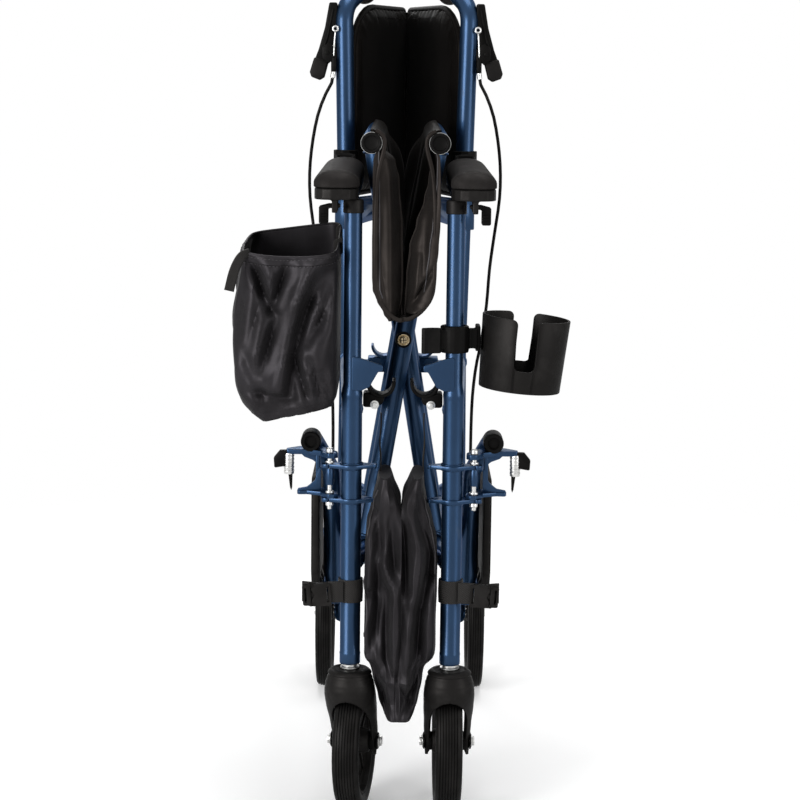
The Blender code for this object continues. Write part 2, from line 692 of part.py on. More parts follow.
def spread(breaks, count):
    """Evenly spaced values in each stretch between the breaks, which all stay in the list."""
    values = [breaks[0]]
    for low, high in zip(breaks, breaks[1:]):
        values += [low + (high - low) * step / count for step in range(1, count + 1)]
    return values


def seat_half(side):
    """Half of the seat cloth, which wraps its rail and hangs down to the crease.

    Its three tongues leave the brace arms free, and its origin is on the rail's axis.
    """
    wrap_r = RAIL_R + GAP + CLOTH_T / 2
    front_notch = (FRONT_BRACE_Y - BRACE_R - SEAT_MARGIN, FRONT_BRACE_Y + ARM_PITCH + BRACE_R + SEAT_MARGIN)
    rear_notch = (REAR_BRACE_Y - ARM_PITCH - BRACE_R - SEAT_MARGIN, REAR_BRACE_Y + BRACE_R + SEAT_MARGIN)
    along = spread([RAIL_FRONT_Y + 0.001, *front_notch, *rear_notch, RAIL_BACK_Y - 0.004], 2)
    turns = [4 * WRAP_TURN - step * WRAP_TURN for step in range(5)]
    section = [(wrap_r * math.cos(turn), wrap_r * math.sin(turn)) for turn in turns]
    section += [(inward, -SEAT_DROP * share) for share, inward in SEAT_HANG]
    form = bmesh.new()
    bmesh.ops.create_grid(form, x_segments=len(along) - 1, y_segments=len(section) - 1, size=0.5)
    for vert in form.verts:
        y = along[round((vert.co.x + 0.5) * (len(along) - 1))]
        x, z = section[round((vert.co.y + 0.5) * (len(section) - 1))]
        vert.co = (-side * x, y, z)
    spare = [face for face in form.faces if is_notch(face, front_notch) or is_notch(face, rear_notch)]
    bmesh.ops.delete(form, geom=spare, context="FACES")
    cloth = from_form("seat_cloth", form)
    thick = cloth.modifiers.new("thickness", "SOLIDIFY")
    thick.thickness = CLOTH_T
    thick.offset = 0
    cloth.location = (side * rail_x(), 0, rail_z())
    return publish(cloth, "seat_" + SIDE_NAME[side], "black_cloth")


def is_notch(face, notch):
    """Whether a face of the cloth lies beside the brace arms, below the wrap."""
    centre = face.calc_center_median()
    return notch[0] < centre.y < notch[1] and centre.z < 0


def cushion(name, low, high, edge, cuts=2):
    """A padded box between two corners, thick in the middle of its X and thin at its rims."""
    low, high = Vector(low), Vector(high)
    middle, half = (low + high) / 2, (high - low) / 2
    form = bmesh.new()
    bmesh.ops.create_cube(form, size=2)
    bmesh.ops.subdivide_edges(form, edges=form.edges, cuts=cuts, use_grid_fill=True)
    for vert in form.verts:
        x, y, z = vert.co
        swell = max(0.0, math.cos(y * math.pi / 2) * math.cos(z * math.pi / 2)) ** 0.5
        crown = edge + (1 - edge) * swell
        vert.co = (middle.x + half.x * x * crown, middle.y + half.y * y, middle.z + half.z * z)
    made = from_form(name, form)
    smooth = made.modifiers.new("soft", "SUBSURF")
    smooth.levels = smooth.render_levels = 1
    return made


def back_pivot(side):
    """The empty on the hinge line of a backrest half and its stretcher bar."""
    name = "back_hinge_" + SIDE_NAME[side]
    z = BACK_BOTTOM_Z - STRETCHER_H / 2
    made = bpy.data.objects.get(name)
    if made:
        return made
    made = pivot(name, (side * upright_x(z), UPRIGHT_Y, 0))
    made.rotation_euler = (0, 0, side * BACK_TILT)
    return made


def backrest_half(side):
    """Padded half of the backrest, drawn straight back from its hinge line."""
    pad = cushion("back_pad", (-BACK_T / 2, BACK_START, BACK_BOTTOM_Z),
                  (BACK_T / 2, BACK_START + BACK_LENGTH, BACK_TOP_Z), 0.28)
    pad.parent = back_pivot(side)
    return publish(pad, "backrest_" + SIDE_NAME[side], "black_cloth")


def back_stretcher(side):
    """Flat slotted bar under the backrest half, with a knuckle round the upright."""
    high = BACK_BOTTOM_Z - GAP
    low = high - STRETCHER_H
    hole = bore(TUBE_R) + 0.0005
    knuckle = turned("knuckle", ring_profile(hole, hole + KNUCKLE_WALL, low, high))
    end = BACK_START + BACK_LENGTH - 0.006
    bar = plate("bar", rounded([(hole + 0.001, low + 0.001), (end, low + 0.006), (end, high - 0.006),
                                (hole + 0.001, high - 0.001)],
                               0.008, 2), "X", -STRETCHER_T / 2, STRETCHER_T / 2)
    middle = (low + high) / 2
    slot = plate("slot", rounded([(0.10, middle - 0.0035), (0.19, middle - 0.0035),
                                  (0.19, middle + 0.0035), (0.10, middle + 0.0035)],
                                 0.0034), "X", -0.01, 0.01)
    cut(join(knuckle, bar), slot)
    knuckle.parent = back_pivot(side)
    return publish(knuckle, "back_stretcher_" + SIDE_NAME[side], "blue_paint")


def under_seat_bag(side):
    """Half of the bag under the seat, with its tapered strap up to the front saddle."""
    x = saddle_x()
    middle = (BAG_INNER_X + BAG_OUTER_X) / 2
    lobe = plate("lobe", rounded(mirrored([
        (BAG_INNER_X, BAG_BOTTOM_Z + 0.01), (BAG_INNER_X, BAG_TOP_Z), (BAG_OUTER_X - 0.002, BAG_TOP_Z),
        (BAG_OUTER_X, BAG_TOP_Z - 0.06), (BAG_OUTER_X, BAG_WAIST_Z + 0.02),
        (BAG_TIP_X, BAG_WAIST_Z - 0.004),
        (BAG_TIP_X, BAG_BOTTOM_Z + 0.012), (middle - 0.006, BAG_BOTTOM_Z)], side), 0.004),
        "Y", BAG_FRONT_Y, BAG_BACK_Y)
    strap_y = SADDLE_FRONT_Y + SADDLE_LENGTH / 2
    strap = plate("strap", [
        (strap_y - BAG_STRAP_W, BAG_TOP_Z - 0.004), (strap_y + BAG_STRAP_W, BAG_TOP_Z - 0.004),
        (strap_y + BAG_STRAP_W * 0.4, BAG_HANG_Z + 0.0002),
        (strap_y - BAG_STRAP_W * 0.4, BAG_HANG_Z + 0.0002)],
        "X", side * x - BAG_STRAP_T / 2, side * x + BAG_STRAP_T / 2)
    belly = plate("belly", mirrored([
        (middle, BAG_BELLY_LOW_Z + 0.002), (middle, BAG_BELLY_HIGH_Z), (BAG_OUTER_X + 0.002, BAG_BELLY_HIGH_Z),
        (BAG_BELLY_X, BAG_BELLY_HIGH_Z - 0.035), (BAG_BELLY_X, BAG_BELLY_LOW_Z + 0.015),
        (BAG_OUTER_X + 0.001, BAG_BELLY_LOW_Z)], side), "Y", BAG_FRONT_Y + 0.002, BAG_BELLY_BACK_Y)
    bag = join(lobe, belly, strap)
    return publish(bag, "under_seat_bag_" + SIDE_NAME[side], "black_cloth",
                   pivot("bag_hinge_" + SIDE_NAME[side], (side * x, strap_y, BAG_HANG_Z)))


def side_bag():
    """Open-topped bag that hangs on the left side."""
    low = Vector((-POCKET_OUT_X, POCKET_FRONT_Y, POCKET_BOTTOM_Z))
    high = Vector((-POCKET_IN_X, POCKET_BACK_Y, POCKET_TOP_Z))
    wall = Vector((POCKET_WALL, POCKET_WALL, POCKET_WALL))
    outer = soften(box("side_bag", low, high), 0.014, segments=2)
    inner = box("bag_inside", low + wall, high - wall + Vector((0, 0, 0.05)))
    soften(inner, 0.012, segments=2)
    return publish(cut(outer, inner), "side_bag", "black_cloth")


# Armrests


def armrest_collar(side):
    """Collar on the upright, with two ears and the pin that the armrest turns on."""
    z = COLLAR_LOW_Z
    x = side * upright_x(z + COLLAR_H / 2)
    hole = bore(TUBE_R) + 0.0002
    ring = turned("collar", ring_profile(hole, hole + COLLAR_WALL, z, z + COLLAR_H))
    ring.location = (x, UPRIGHT_Y, 0)
    collar_front = -(hole + COLLAR_WALL * 0.6)
    reach = ARM_HINGE_Y - UPRIGHT_Y
    ear_outline = rounded([(collar_front, z + 0.001), (collar_front, z + 0.013),
                           (reach - 0.002, ARM_HINGE_Z + 0.008),
                           (reach - 0.008, ARM_HINGE_Z + 0.002), (reach - 0.008, ARM_HINGE_Z - 0.005),
                           (reach, ARM_HINGE_Z - 0.0075)], 0.004, 1)
    inner = TONGUE_W / 2 + GAP
    ears = [plate("ear", ear_outline, "X", way * inner, way * (inner + EAR_T)) for way in (-1, 1)]
    bridge = box("bridge", (-inner - EAR_T, collar_front - 0.003, z + 0.002),
                 (inner + EAR_T, collar_front + 0.001, z + 0.012))
    pin = rod("pin", (-inner - EAR_T - 0.0012, reach, ARM_HINGE_Z),
              (inner + EAR_T + 0.0012, reach, ARM_HINGE_Z), ARM_PIN_R, sides=PIN_SIDES)
    return publish(join(ring, *ears, bridge, pin), "armrest_collar_" + SIDE_NAME[side], "black_plastic")


def armrest_outline(grow):
    """Stadium-like outline of pad and base, X and Y, with rounded ends."""
    return rounded([(PAD_IN_X - grow, PAD_FRONT_Y - grow), (PAD_OUT_X + grow, PAD_FRONT_Y - grow),
                    (PAD_OUT_X + grow, PAD_BACK_Y + grow), (PAD_IN_X - grow, PAD_BACK_Y + grow)], 0.018, 3)


def armrest(side):
    """Pad and base that flip up together, and the latch lever under the front."""
    name = SIDE_NAME[side]
    hinge_x = upright_x(COLLAR_LOW_Z + COLLAR_H / 2)
    hinge = pivot("armrest_hinge_" + name, (side * hinge_x, ARM_HINGE_Y, ARM_HINGE_Z))
    low = POST_TOP_Z + GAP
    high = low + BASE_T
    base = plate("base", mirrored(armrest_outline(-0.0008), side), "Z", low, high)
    tongue = plate("tongue", rounded([(PAD_BACK_Y - 0.02, low + 0.0005),
                                      (ARM_HINGE_Y, ARM_HINGE_Z - 0.0072),
                                      (ARM_HINGE_Y + 0.0080, ARM_HINGE_Z - 0.003),
                                      (ARM_HINGE_Y + 0.0080, ARM_HINGE_Z + 0.003),
                                      (ARM_HINGE_Y, ARM_HINGE_Z + 0.0072),
                                      (PAD_BACK_Y + 0.001, high - 0.001),
                                      (PAD_BACK_Y - 0.02, high - 0.001)], 0.003),
                   "X", side * hinge_x - TONGUE_W / 2, side * hinge_x + TONGUE_W / 2)
    hole = rod("hinge_hole", (side * hinge_x - 0.02, ARM_HINGE_Y, ARM_HINGE_Z),
               (side * hinge_x + 0.02, ARM_HINGE_Y, ARM_HINGE_Z), bore(ARM_PIN_R, PIN_SIDES),
               sides=PIN_SIDES)
    lug_low = LATCH_HINGE_Z - 0.0035
    lugs = [box("lug", (side * (LATCH_HINGE_X - 0.0032), y, lug_low),
                (side * (LATCH_HINGE_X + 0.0032), y + 0.0024, low + 0.002))
            for y in (LATCH_FRONT_Y - 0.0024 - GAP, LATCH_BACK_Y + GAP)]
    wire = rod("latch_pin", (side * LATCH_HINGE_X, LATCH_FRONT_Y - 0.002, LATCH_HINGE_Z),
               (side * LATCH_HINGE_X, LATCH_BACK_Y + 0.002, LATCH_HINGE_Z), 0.0014, sides=8)
    publish(cut(join(base, tongue, *lugs, wire), hole), "armrest_base_" + name, "black_plastic", hinge)
    dome(side, high + GAP, hinge)
    latch(side)


def dome(side, low, hinge):
    """Moulded pad whose top is domed across and rounded at both ends."""
    outline = mirrored(armrest_outline(0), side)
    form = bmesh.new()
    rim = bmesh.ops.create_circle(form, segments=len(outline), cap_ends=True, radius=1)["verts"]
    for vert, (x, y) in zip(rim, outline):
        vert.co = (x, y, low)
    middle = Vector((side * (PAD_IN_X + PAD_OUT_X) / 2, (PAD_FRONT_Y + PAD_BACK_Y) / 2, 0))
    faces = list(form.faces)
    for height, inset in ((0.45, 0.0), (0.72, 0.0035), (0.90, 0.0090), (1.0, 0.0170)):
        made = bmesh.ops.extrude_face_region(form, geom=faces)["geom"]
        if height > 0.45:
            bmesh.ops.delete(form, geom=faces, context="FACES_ONLY")
        faces = [piece for piece in made if isinstance(piece, bmesh.types.BMFace)]
        for vert in {v for face in faces for v in face.verts}:
            vert.co.z = low + PAD_H * height
        shrink_to(faces, middle, outline, inset)
    publish(from_form("dome", form), "armrest_pad_" + SIDE_NAME[side], "soft_black", hinge)


def shrink_to(faces, middle, outline, inset):
    """Move a cap's rim in from the outline by this much, along both axes."""
    half_x = (PAD_OUT_X - PAD_IN_X) / 2
    half_y = (PAD_BACK_Y - PAD_FRONT_Y) / 2
    rim = sorted({v for face in faces for v in face.verts}, key=lambda v: v.index)
    for vert in rim:
        x, y = nearest(outline, vert.co, middle)
        vert.co.x = middle.x + (x - middle.x) * (1 - inset / half_x)
        vert.co.y = middle.y + (y - middle.y) * (1 - inset / half_y)


def nearest(outline, place, middle):
    """The outline's point in the direction of a place, seen from the middle."""
    def apart(point):
        a = math.atan2(point[1] - middle.y, point[0] - middle.x)
        b = math.atan2(place.y - middle.y, place.x - middle.x)
        return abs((a - b + math.pi) % (2 * math.pi) - math.pi)
    return min(outline, key=apart)


def latch(side):
    """Small L-shaped lever between the lugs under the base's front."""
    name = SIDE_NAME[side]
    x, z = LATCH_HINGE_X, LATCH_HINGE_Z
    outline = rounded(mirrored([
        (x - 0.0028, z - 0.0028), (x - 0.0028, z + 0.0028), (x + 0.0150, z + 0.0024),
        (x + 0.0150, z - 0.0155),
        (x + 0.0112, z - 0.0155), (x + 0.0112, z - 0.0028)], side), 0.0012)
    lever = plate("latch", outline, "Y", LATCH_FRONT_Y, LATCH_BACK_Y)
    hole = rod("latch_hole", (side * x, LATCH_FRONT_Y - 0.01, z), (side * x, LATCH_BACK_Y + 0.01, z),
               0.0019, sides=8)
    publish(cut(lever, hole), "armrest_latch_" + name, "black_plastic",
            pivot("armrest_latch_hinge_" + name, (side * x, (LATCH_FRONT_Y + LATCH_BACK_Y) / 2, z)))


# Footrests


def footrest_pin(side):
    """Hinge pin through the ring plates and the hanger, with a head, a spacer and a nut."""
    top = HANGER_PLATE_Z + HANGER_PLATE_T + GAP
    under = PLATE_LOW_Z - GAP
    spacer_low, spacer_high = PLATE_HIGH_Z + PLATE_T + GAP, HANGER_PLATE_Z - GAP
    pin = turned("pin", [
        (0, top + 0.0055), (PIN_HEAD_R - 0.0015, top + 0.0055), (PIN_HEAD_R, top + 0.004),
        (PIN_HEAD_R, top),
        (PIN_R, top), (PIN_R, spacer_high), (PIN_HEAD_R - 0.001, spacer_high),
        (PIN_HEAD_R - 0.001, spacer_low),
        (PIN_R, spacer_low), (PIN_R, under), (PIN_HEAD_R - 0.0008, under),
        (PIN_HEAD_R - 0.0008, under - 0.005),
        (PIN_R, under - 0.005), (PIN_R, under - 0.010), (0, under - 0.010)], 8)
    pin.location = (side * PIN_X, 0, 0)
    return publish(pin, "footrest_pin_" + SIDE_NAME[side], "zinc")


def footrest(side):
    """Swing-away hanger, stored beside the frame, with its latch and flip-up footplate."""
    name = SIDE_NAME[side]
    hinge = pivot("footrest_hinge_" + name, (side * PIN_X, 0, HANGER_Z))
    elbow_x = FOOTPLATE_X - FOOTPLATE_T / 2 - HANGER_R - 0.0040
    pipe = tube("hanger", bent([
        (side * HANGER_X, HANGER_FRONT_Y, HANGER_Z), (side * HANGER_X, 0.052, HANGER_Z),
        (side * elbow_x, 0.098, HANGER_Z - 0.046), (side * elbow_x, FOOT_HINGE_Y, FOOT_HINGE_Z + 0.002)],
        0.030), HANGER_R)
    mouth = rod("hanger_mouth", (side * HANGER_X, HANGER_FRONT_Y - 0.01, HANGER_Z),
                (side * HANGER_X, HANGER_FRONT_Y + 0.004, HANGER_Z), HANGER_R - 0.0028)
    boss = [(PIN_X - 0.0087, -0.0040), (PIN_X - 0.0042, -0.0085), (PIN_X + 0.0018, -0.0090),
            (PIN_X + 0.0094, 0.0034), (PIN_X + 0.0097, 0.0068)]
    tail = [(PIN_X - 0.0077, 0.0080)]
    arm_y = HANGER_FRONT_Y + 0.0025
    upper = plate("hanger_upper", mirrored(boss + [
        (HANGER_X + 0.001, arm_y), (HANGER_X + 0.0265, arm_y), (HANGER_X + 0.0265, arm_y + 0.0105),
        (HANGER_X + 0.013, arm_y + 0.024), (HANGER_X - 0.011, arm_y + 0.024)] + tail, side),
        "Z", HANGER_PLATE_Z, HANGER_PLATE_Z + HANGER_PLATE_T)
    lower_z = PLATE_LOW_Z + PLATE_T + GAP
    lower = plate("hanger_lower", mirrored(boss + [(HANGER_X - 0.004, arm_y),
                                                   (HANGER_X - 0.004, arm_y + 0.02),
                                                   (HANGER_X - 0.011, arm_y + 0.02)] + tail, side),
                  "Z", lower_z, lower_z + 0.004)
    web_x = HANGER_X - 0.0100
    web = box("hanger_web", (side * web_x, arm_y + 0.001, lower_z + 0.001),
              (side * (web_x + 0.0045), arm_y + 0.019, HANGER_PLATE_Z + 0.002))
    gusset = plate("gusset", mirrored([(web_x + 0.002, HANGER_PLATE_Z + 0.001),
                                       (HANGER_X + 0.016, HANGER_PLATE_Z + 0.001),
                                       (HANGER_X + 0.016, HANGER_PLATE_Z - 0.006),
                                       (web_x + 0.002, HANGER_PLATE_Z - 0.024)], side),
                   "Y", arm_y + 0.004, arm_y + 0.008)
    pin_hole = rod("pin_hole", (side * PIN_X, 0, lower_z - 0.01), (side * PIN_X, 0, HANGER_PLATE_Z + 0.02),
                   bore(PIN_R, PIN_SIDES), sides=PIN_SIDES)
    join(pipe, upper, lower, web, gusset, *foot_hinge(side, elbow_x))
    cut(pipe, mouth, pin_hole)
    publish(pipe, "footrest_hanger_" + name, "blue_paint", hinge)
    footplate(side)
    footrest_latch(side)


def foot_hinge(side, elbow_x):
    """Block at the hanger's foot, with the pin that the footplate flips on."""
    y, z = FOOT_HINGE_Y, FOOT_HINGE_Z
    block = box("foot_block", (side * (elbow_x - 0.0085), y - FOOT_BLOCK_Y, z - 0.010),
                (side * (FOOT_HINGE_X + 0.0050), y + FOOT_BLOCK_Y, z + 0.014))
    pin = rod("foot_pin", (side * FOOT_HINGE_X, y - 0.030, z), (side * FOOT_HINGE_X, y + 0.030, z),
              FOOT_PIN_R, sides=PIN_SIDES)
    return block, pin


def footplate(side):
    """Moulded footplate stored on edge, with ribs on its tread and two hinge lugs."""
    name = SIDE_NAME[side]
    x, z = FOOT_HINGE_X, FOOT_HINGE_Z
    low = z + 0.019
    outline = rounded([(FOOTPLATE_FRONT_Y, low + 0.02), (FOOTPLATE_FRONT_Y, FOOTPLATE_TOP_Z),
                       (FOOTPLATE_BACK_Y, FOOTPLATE_TOP_Z),
                       (FOOTPLATE_BACK_Y, low), (FOOTPLATE_FRONT_Y + 0.02, low)], 0.014, 2)
    inner, outer = FOOTPLATE_X - FOOTPLATE_T / 2, FOOTPLATE_X + FOOTPLATE_T / 2
    tread = plate("footplate", outline, "X", side * inner, side * outer)
    ribs = [box("groove", (side * (outer - 0.0016), FOOTPLATE_FRONT_Y + 0.018, low + 0.030 + 0.018 * step),
                (side * (outer + 0.01), FOOTPLATE_BACK_Y - 0.018, low + 0.034 + 0.018 * step))
            for step in range(4)]
    lug_outline = [(x + 0.0075, z - 0.0020), (x + 0.0040, z - 0.0070), (x - 0.0040, z - 0.0070),
                   (x - 0.0072, z),
                   (x - 0.0040, z + 0.0060), (inner + 0.001, low + 0.010), (outer - 0.0005, low + 0.010),
                   (outer - 0.0005, low - 0.002)]
    lugs = [plate("foot_lug", mirrored(lug_outline, side), "Y", y, y + 0.014)
            for y in (FOOT_HINGE_Y - FOOT_BLOCK_Y - GAP - 0.014, FOOT_HINGE_Y + FOOT_BLOCK_Y + GAP)]
    hole = rod("foot_hole", (side * x, FOOT_HINGE_Y - 0.05, z), (side * x, FOOT_HINGE_Y + 0.05, z),
               bore(FOOT_PIN_R, PIN_SIDES), sides=PIN_SIDES)
    cut(join(tread, *lugs), hole, *ribs)
    publish(tread, "footplate_" + name, "grey_plastic",
            pivot("footplate_hinge_" + name, (side * x, FOOT_HINGE_Y, z)))


def footrest_latch(side):
    """Release latch under the hanger's arm: a blade, a bright barrel and a black thumb block."""
    name = SIDE_NAME[side]
    top = HANGER_PLATE_Z - 0.0005
    x = HANGER_X + 0.0205
    y0, y1 = KNOB_Y - KNOB_W / 2, KNOB_Y + KNOB_W / 2
    blade = plate("blade", rounded(mirrored([(x - 0.003, top - 0.036), (x + 0.0005, top - 0.036),
                                             (x + 0.002, top - 0.016),
                                             (x + 0.002, top), (x - 0.002, top),
                                             (x - 0.002, top - 0.016)], side), 0.0008), "Y", y0, y1)
    barrel = rod("barrel", (side * (x + 0.0010), KNOB_Y, top - 0.0080),
                 (side * (x + 0.0095), KNOB_Y, top - 0.0080), 0.0060)
    block = box("thumb", (side * (x + 0.0090), y0, top - 0.0145), (side * (x + 0.0190), y1, top - 0.0015))
    soften(block, 0.0015)
    publish(join(blade, barrel, block), "footrest_latch_" + name, "zinc",
            pivot("footrest_latch_hinge_" + name, (side * x, KNOB_Y, top - 0.001)))


# Wheels


def caster(side):
    """Front caster: fork with its stem, and the wheel that trails behind it."""
    name = SIDE_NAME[side]
    swivel = pivot("caster_swivel_" + name, (side * LEG_X, 0, 0))
    swivel.rotation_euler = (0, 0, -side * CASTER_TURN[side])
    y, z = CASTER_TRAIL, FRONT_WHEEL_R
    top = FORK_TOP_Z
    crown = turned("crown", [
        (0, LEG_BOTTOM_Z + STEM_H), (STEM_R, LEG_BOTTOM_Z + STEM_H), (STEM_R, top),
        (FORK_CROWN_R - 0.006, top), (FORK_CROWN_R, top - 0.004), (FORK_CROWN_R + 0.001, top - 0.014),
        (FORK_CROWN_R + 0.0045, top - 0.030), (FORK_CROWN_R + 0.0040, top - 0.040), (0, top - 0.040)], 12)
    cheeks = plate("cheeks", rounded([
        (-0.0200, top - 0.012), (-0.0270, top - 0.030), (-0.0300, top - 0.044), (-0.0240, top - 0.052),
        (y - 0.0130, z - 0.006), (y - 0.006, z - 0.0150), (y + 0.006, z - 0.0150), (y + 0.0140, z - 0.004),
        (y + 0.0130, z + 0.012), (0.0300, top - 0.030), (0.0210, top - 0.012)], 0.006),
        "X", -FORK_WIDTH / 2, FORK_WIDTH / 2)
    slot = rod("fork_slot", (-FORK_SLOT / 2, y, z), (FORK_SLOT / 2, y, z), FRONT_WHEEL_R + 0.0105, sides=20)
    axle = rod("fork_axle", (-FORK_WIDTH / 2 - 0.006, y, z), (FORK_WIDTH / 2 + 0.006, y, z), AXLE_R,
               sides=PIN_SIDES)
    heads = [rod("axle_head", (way * (FORK_WIDTH / 2 - 0.001), y, z),
                 (way * (FORK_WIDTH / 2 + 0.0045), y, z), 0.0070, sides=6)
             for way in (-1, 1)]
    cut(join(crown, cheeks), slot)
    join(crown, axle, *heads)
    crown.parent = swivel
    publish(crown, "caster_fork_" + name, "black_plastic")
    wheel(name, "front", swivel, (0, y, z), FRONT_WHEEL_R, FRONT_TYRE_W, FRONT_RIM_R, 0.0160)


def rear_wheel(side):
    """Rear wheel on the stub axle."""
    carrier = pivot("rear_axle_" + SIDE_NAME[side], (side * REAR_WHEEL_X, WHEELBASE_Y, REAR_WHEEL_R))
    wheel(SIDE_NAME[side], "rear", carrier, (0, 0, 0), REAR_WHEEL_R, REAR_TYRE_W, REAR_RIM_R, 0.0150)


def wheel(name, end, carrier, place, radius, width, rim_r, hub_r):
    """Ribbed tyre, and a rim with a hub, a thin web and openings between its spokes.

    Both are turned half a step, so that the tyre stands on the middle of a facet.
    """
    half = width / 2
    half_step = math.pi / WHEEL_SIDES
    tread = [(radius - 0.0060, half), (radius - 0.0008, half * 0.62), (radius, half * 0.22),
             (radius - 0.0014, 0),
             (radius, -half * 0.22), (radius - 0.0008, -half * 0.62), (radius - 0.0060, -half)]
    tread = [(r / math.cos(half_step), z) for r, z in tread]
    tyre = turned("tyre", [(rim_r, half * 0.86), *tread, (rim_r, -half * 0.86), (rim_r, half * 0.86)],
                  WHEEL_SIDES)
    lip = rim_r - GAP
    hole = bore(AXLE_R, PIN_SIDES)
    hub_half = half if end == "rear" else FORK_SLOT / 2 - GAP
    rim = turned("rim", [
        (hole, hub_half), (hub_r * 0.8, hub_half), (hub_r, 0.0030), (lip - 0.0060, 0.0030),
        (lip - 0.0040, half * 0.80), (lip, half * 0.80), (lip, -half * 0.80), (lip - 0.0040, -half * 0.80),
        (lip - 0.0060, -0.0030), (hub_r, -0.0030), (hub_r * 0.8, -hub_half),
        (hole, -hub_half), (hole, hub_half)], WHEEL_SIDES)
    windows = [window(index, hub_r + 0.004, lip - 0.010) for index in range(SPOKES)]
    cut(rim, *windows)
    for part, title, finish in ((tyre, "tyre", "rubber"), (rim, "rim", "grey_plastic")):
        part.data.transform(Matrix.Rotation(half_step, 4, "Z"))
        part.parent = carrier
        part.location = place
        part.rotation_euler = (0, math.radians(90), 0)
        publish(part, end + "_" + title + "_" + name, finish)


def window(index, inner, outer):
    """Cutter for the opening between two spokes of a rim."""
    middle = 360 * index / SPOKES
    half = 180 / SPOKES
    outline = arc((0, 0), outer, middle - half * 0.78, middle + half * 0.78, 2)
    outline += arc((0, 0), inner, middle + half * 0.55, middle - half * 0.55, 1)
    return plate("window", outline, "Z", -0.02, 0.02)


# Brakes


def brake_housing(side):
    """Clamp on the upright that carries the brake lever's pin and the cable's adjuster."""
    low, high = CLAMP_LOW_Z, CLAMP_LOW_Z + CLAMP_H
    x = side * upright_x((low + high) / 2)
    hole = bore(TUBE_R) + 0.0001
    ring = turned("clamp", ring_profile(hole, hole + CLAMP_WALL, low, high), 12)
    ring.location = (x, UPRIGHT_Y, 0)
    y = LEVER_HINGE_Y - UPRIGHT_Y
    inner, outer = lever_span(LEVER_HINGE_Z)
    start = hole + 0.001
    pin = rod("lever_pin", (side * start, y, LEVER_HINGE_Z),
              (side * outer - x + side * 0.0015, y, LEVER_HINGE_Z), 0.0032, sides=PIN_SIDES)
    head = rod("lever_head", (side * (outer + GAP + 0.0006) - x, y, LEVER_HINGE_Z),
               (side * (outer + 0.0035) - x, y, LEVER_HINGE_Z), 0.0052)
    ax, ay, az = cable_start(side)
    adjuster = rod("adjuster", (ax - x, ay - UPRIGHT_Y, az + 2 * GAP),
                   (ax - x, ay - UPRIGHT_Y, low + 0.012), 0.0036, sides=8)
    arm = plate("adjuster_arm", [(side * 0.004, -hole - 0.0004), (ax - x, ay - UPRIGHT_Y - 0.003),
                                 (ax - x + side * 0.002, ay - UPRIGHT_Y + 0.002),
                                 (side * (hole + 0.0008), -0.002)], "Z", low + 0.002, low + 0.010)
    return publish(join(ring, pin, head, adjuster, arm), "brake_housing_" + SIDE_NAME[side],
                   "black_plastic")


def lever_outline():
    """X and Z of the brake lever's flat body, which slants down and out."""
    z = LEVER_HINGE_Z
    return [(0.0892, LEVER_TOP_Z - 0.001), (0.0935, LEVER_TOP_Z), (0.1138, LEVER_CHIN_Z), (0.1105, z - 0.028),
            (0.0990, z - 0.033), (0.0978, LEVER_KNEE_Z), (0.0900, LEVER_TIP_Z)]


def lever_span(z):
    """Inner and outer X of the lever's body at a height between its slanted edges."""
    inner = 0.0978 + (0.0900 - 0.0978) * (z - LEVER_KNEE_Z) / (LEVER_TIP_Z - LEVER_KNEE_Z)
    outer = 0.1138 + (0.0935 - 0.1138) * (z - LEVER_CHIN_Z) / (LEVER_TOP_Z - LEVER_CHIN_Z)
    return inner, outer


def brake_lever(side):
    """Loop lever beside the grip, with its flat body hanging down and out."""
    name = SIDE_NAME[side]
    y0 = LEVER_HINGE_Y - LEVER_T / 2
    body = plate("lever", mirrored(lever_outline(), side), "Y", y0, y0 + LEVER_T)
    spotface = rod("spotface", (side * (lever_span(LEVER_HINGE_Z)[1] + GAP + 0.0002), LEVER_HINGE_Y,
                                LEVER_HINGE_Z),
                   (side * 0.13, LEVER_HINGE_Y, LEVER_HINGE_Z), 0.0062, sides=16)
    wire_z = HANDLE_Z - 0.030
    wire = tube("lever_wire", bent([
        (side * 0.0922, LEVER_HINGE_Y, wire_z - 0.003),
        (side * 0.0922, LEVER_HINGE_Y + 0.022, wire_z + 0.004),
        (side * 0.0895, LEVER_HINGE_Y + 0.045, wire_z + 0.004),
        (side * 0.0860, HANDLE_END_Y - 0.030, wire_z)],
                                   0.020), LEVER_WIRE_R, 10)
    hole = rod("lever_hole", (side * 0.07, LEVER_HINGE_Y, LEVER_HINGE_Z),
               (side * 0.13, LEVER_HINGE_Y, LEVER_HINGE_Z), bore(0.0032, PIN_SIDES), sides=PIN_SIDES)
    cut(join(body, wire), hole, spotface)
    return publish(body, "brake_lever_" + name, "black_plastic",
                   pivot("brake_hinge_" + name,
                         (side * upright_x(LEVER_HINGE_Z), LEVER_HINGE_Y, LEVER_HINGE_Z)))


def cable_start(side):
    """Where the brake cable leaves its adjuster."""
    return side * 0.0888, 0.3895, CLAMP_LOW_Z - 0.013


def cable_end(side):
    """Where the brake cable enters its stop on the rear leg."""
    x, y = rear_leg(0.262)
    return side * (x + 0.0165), y - 0.020, 0.262


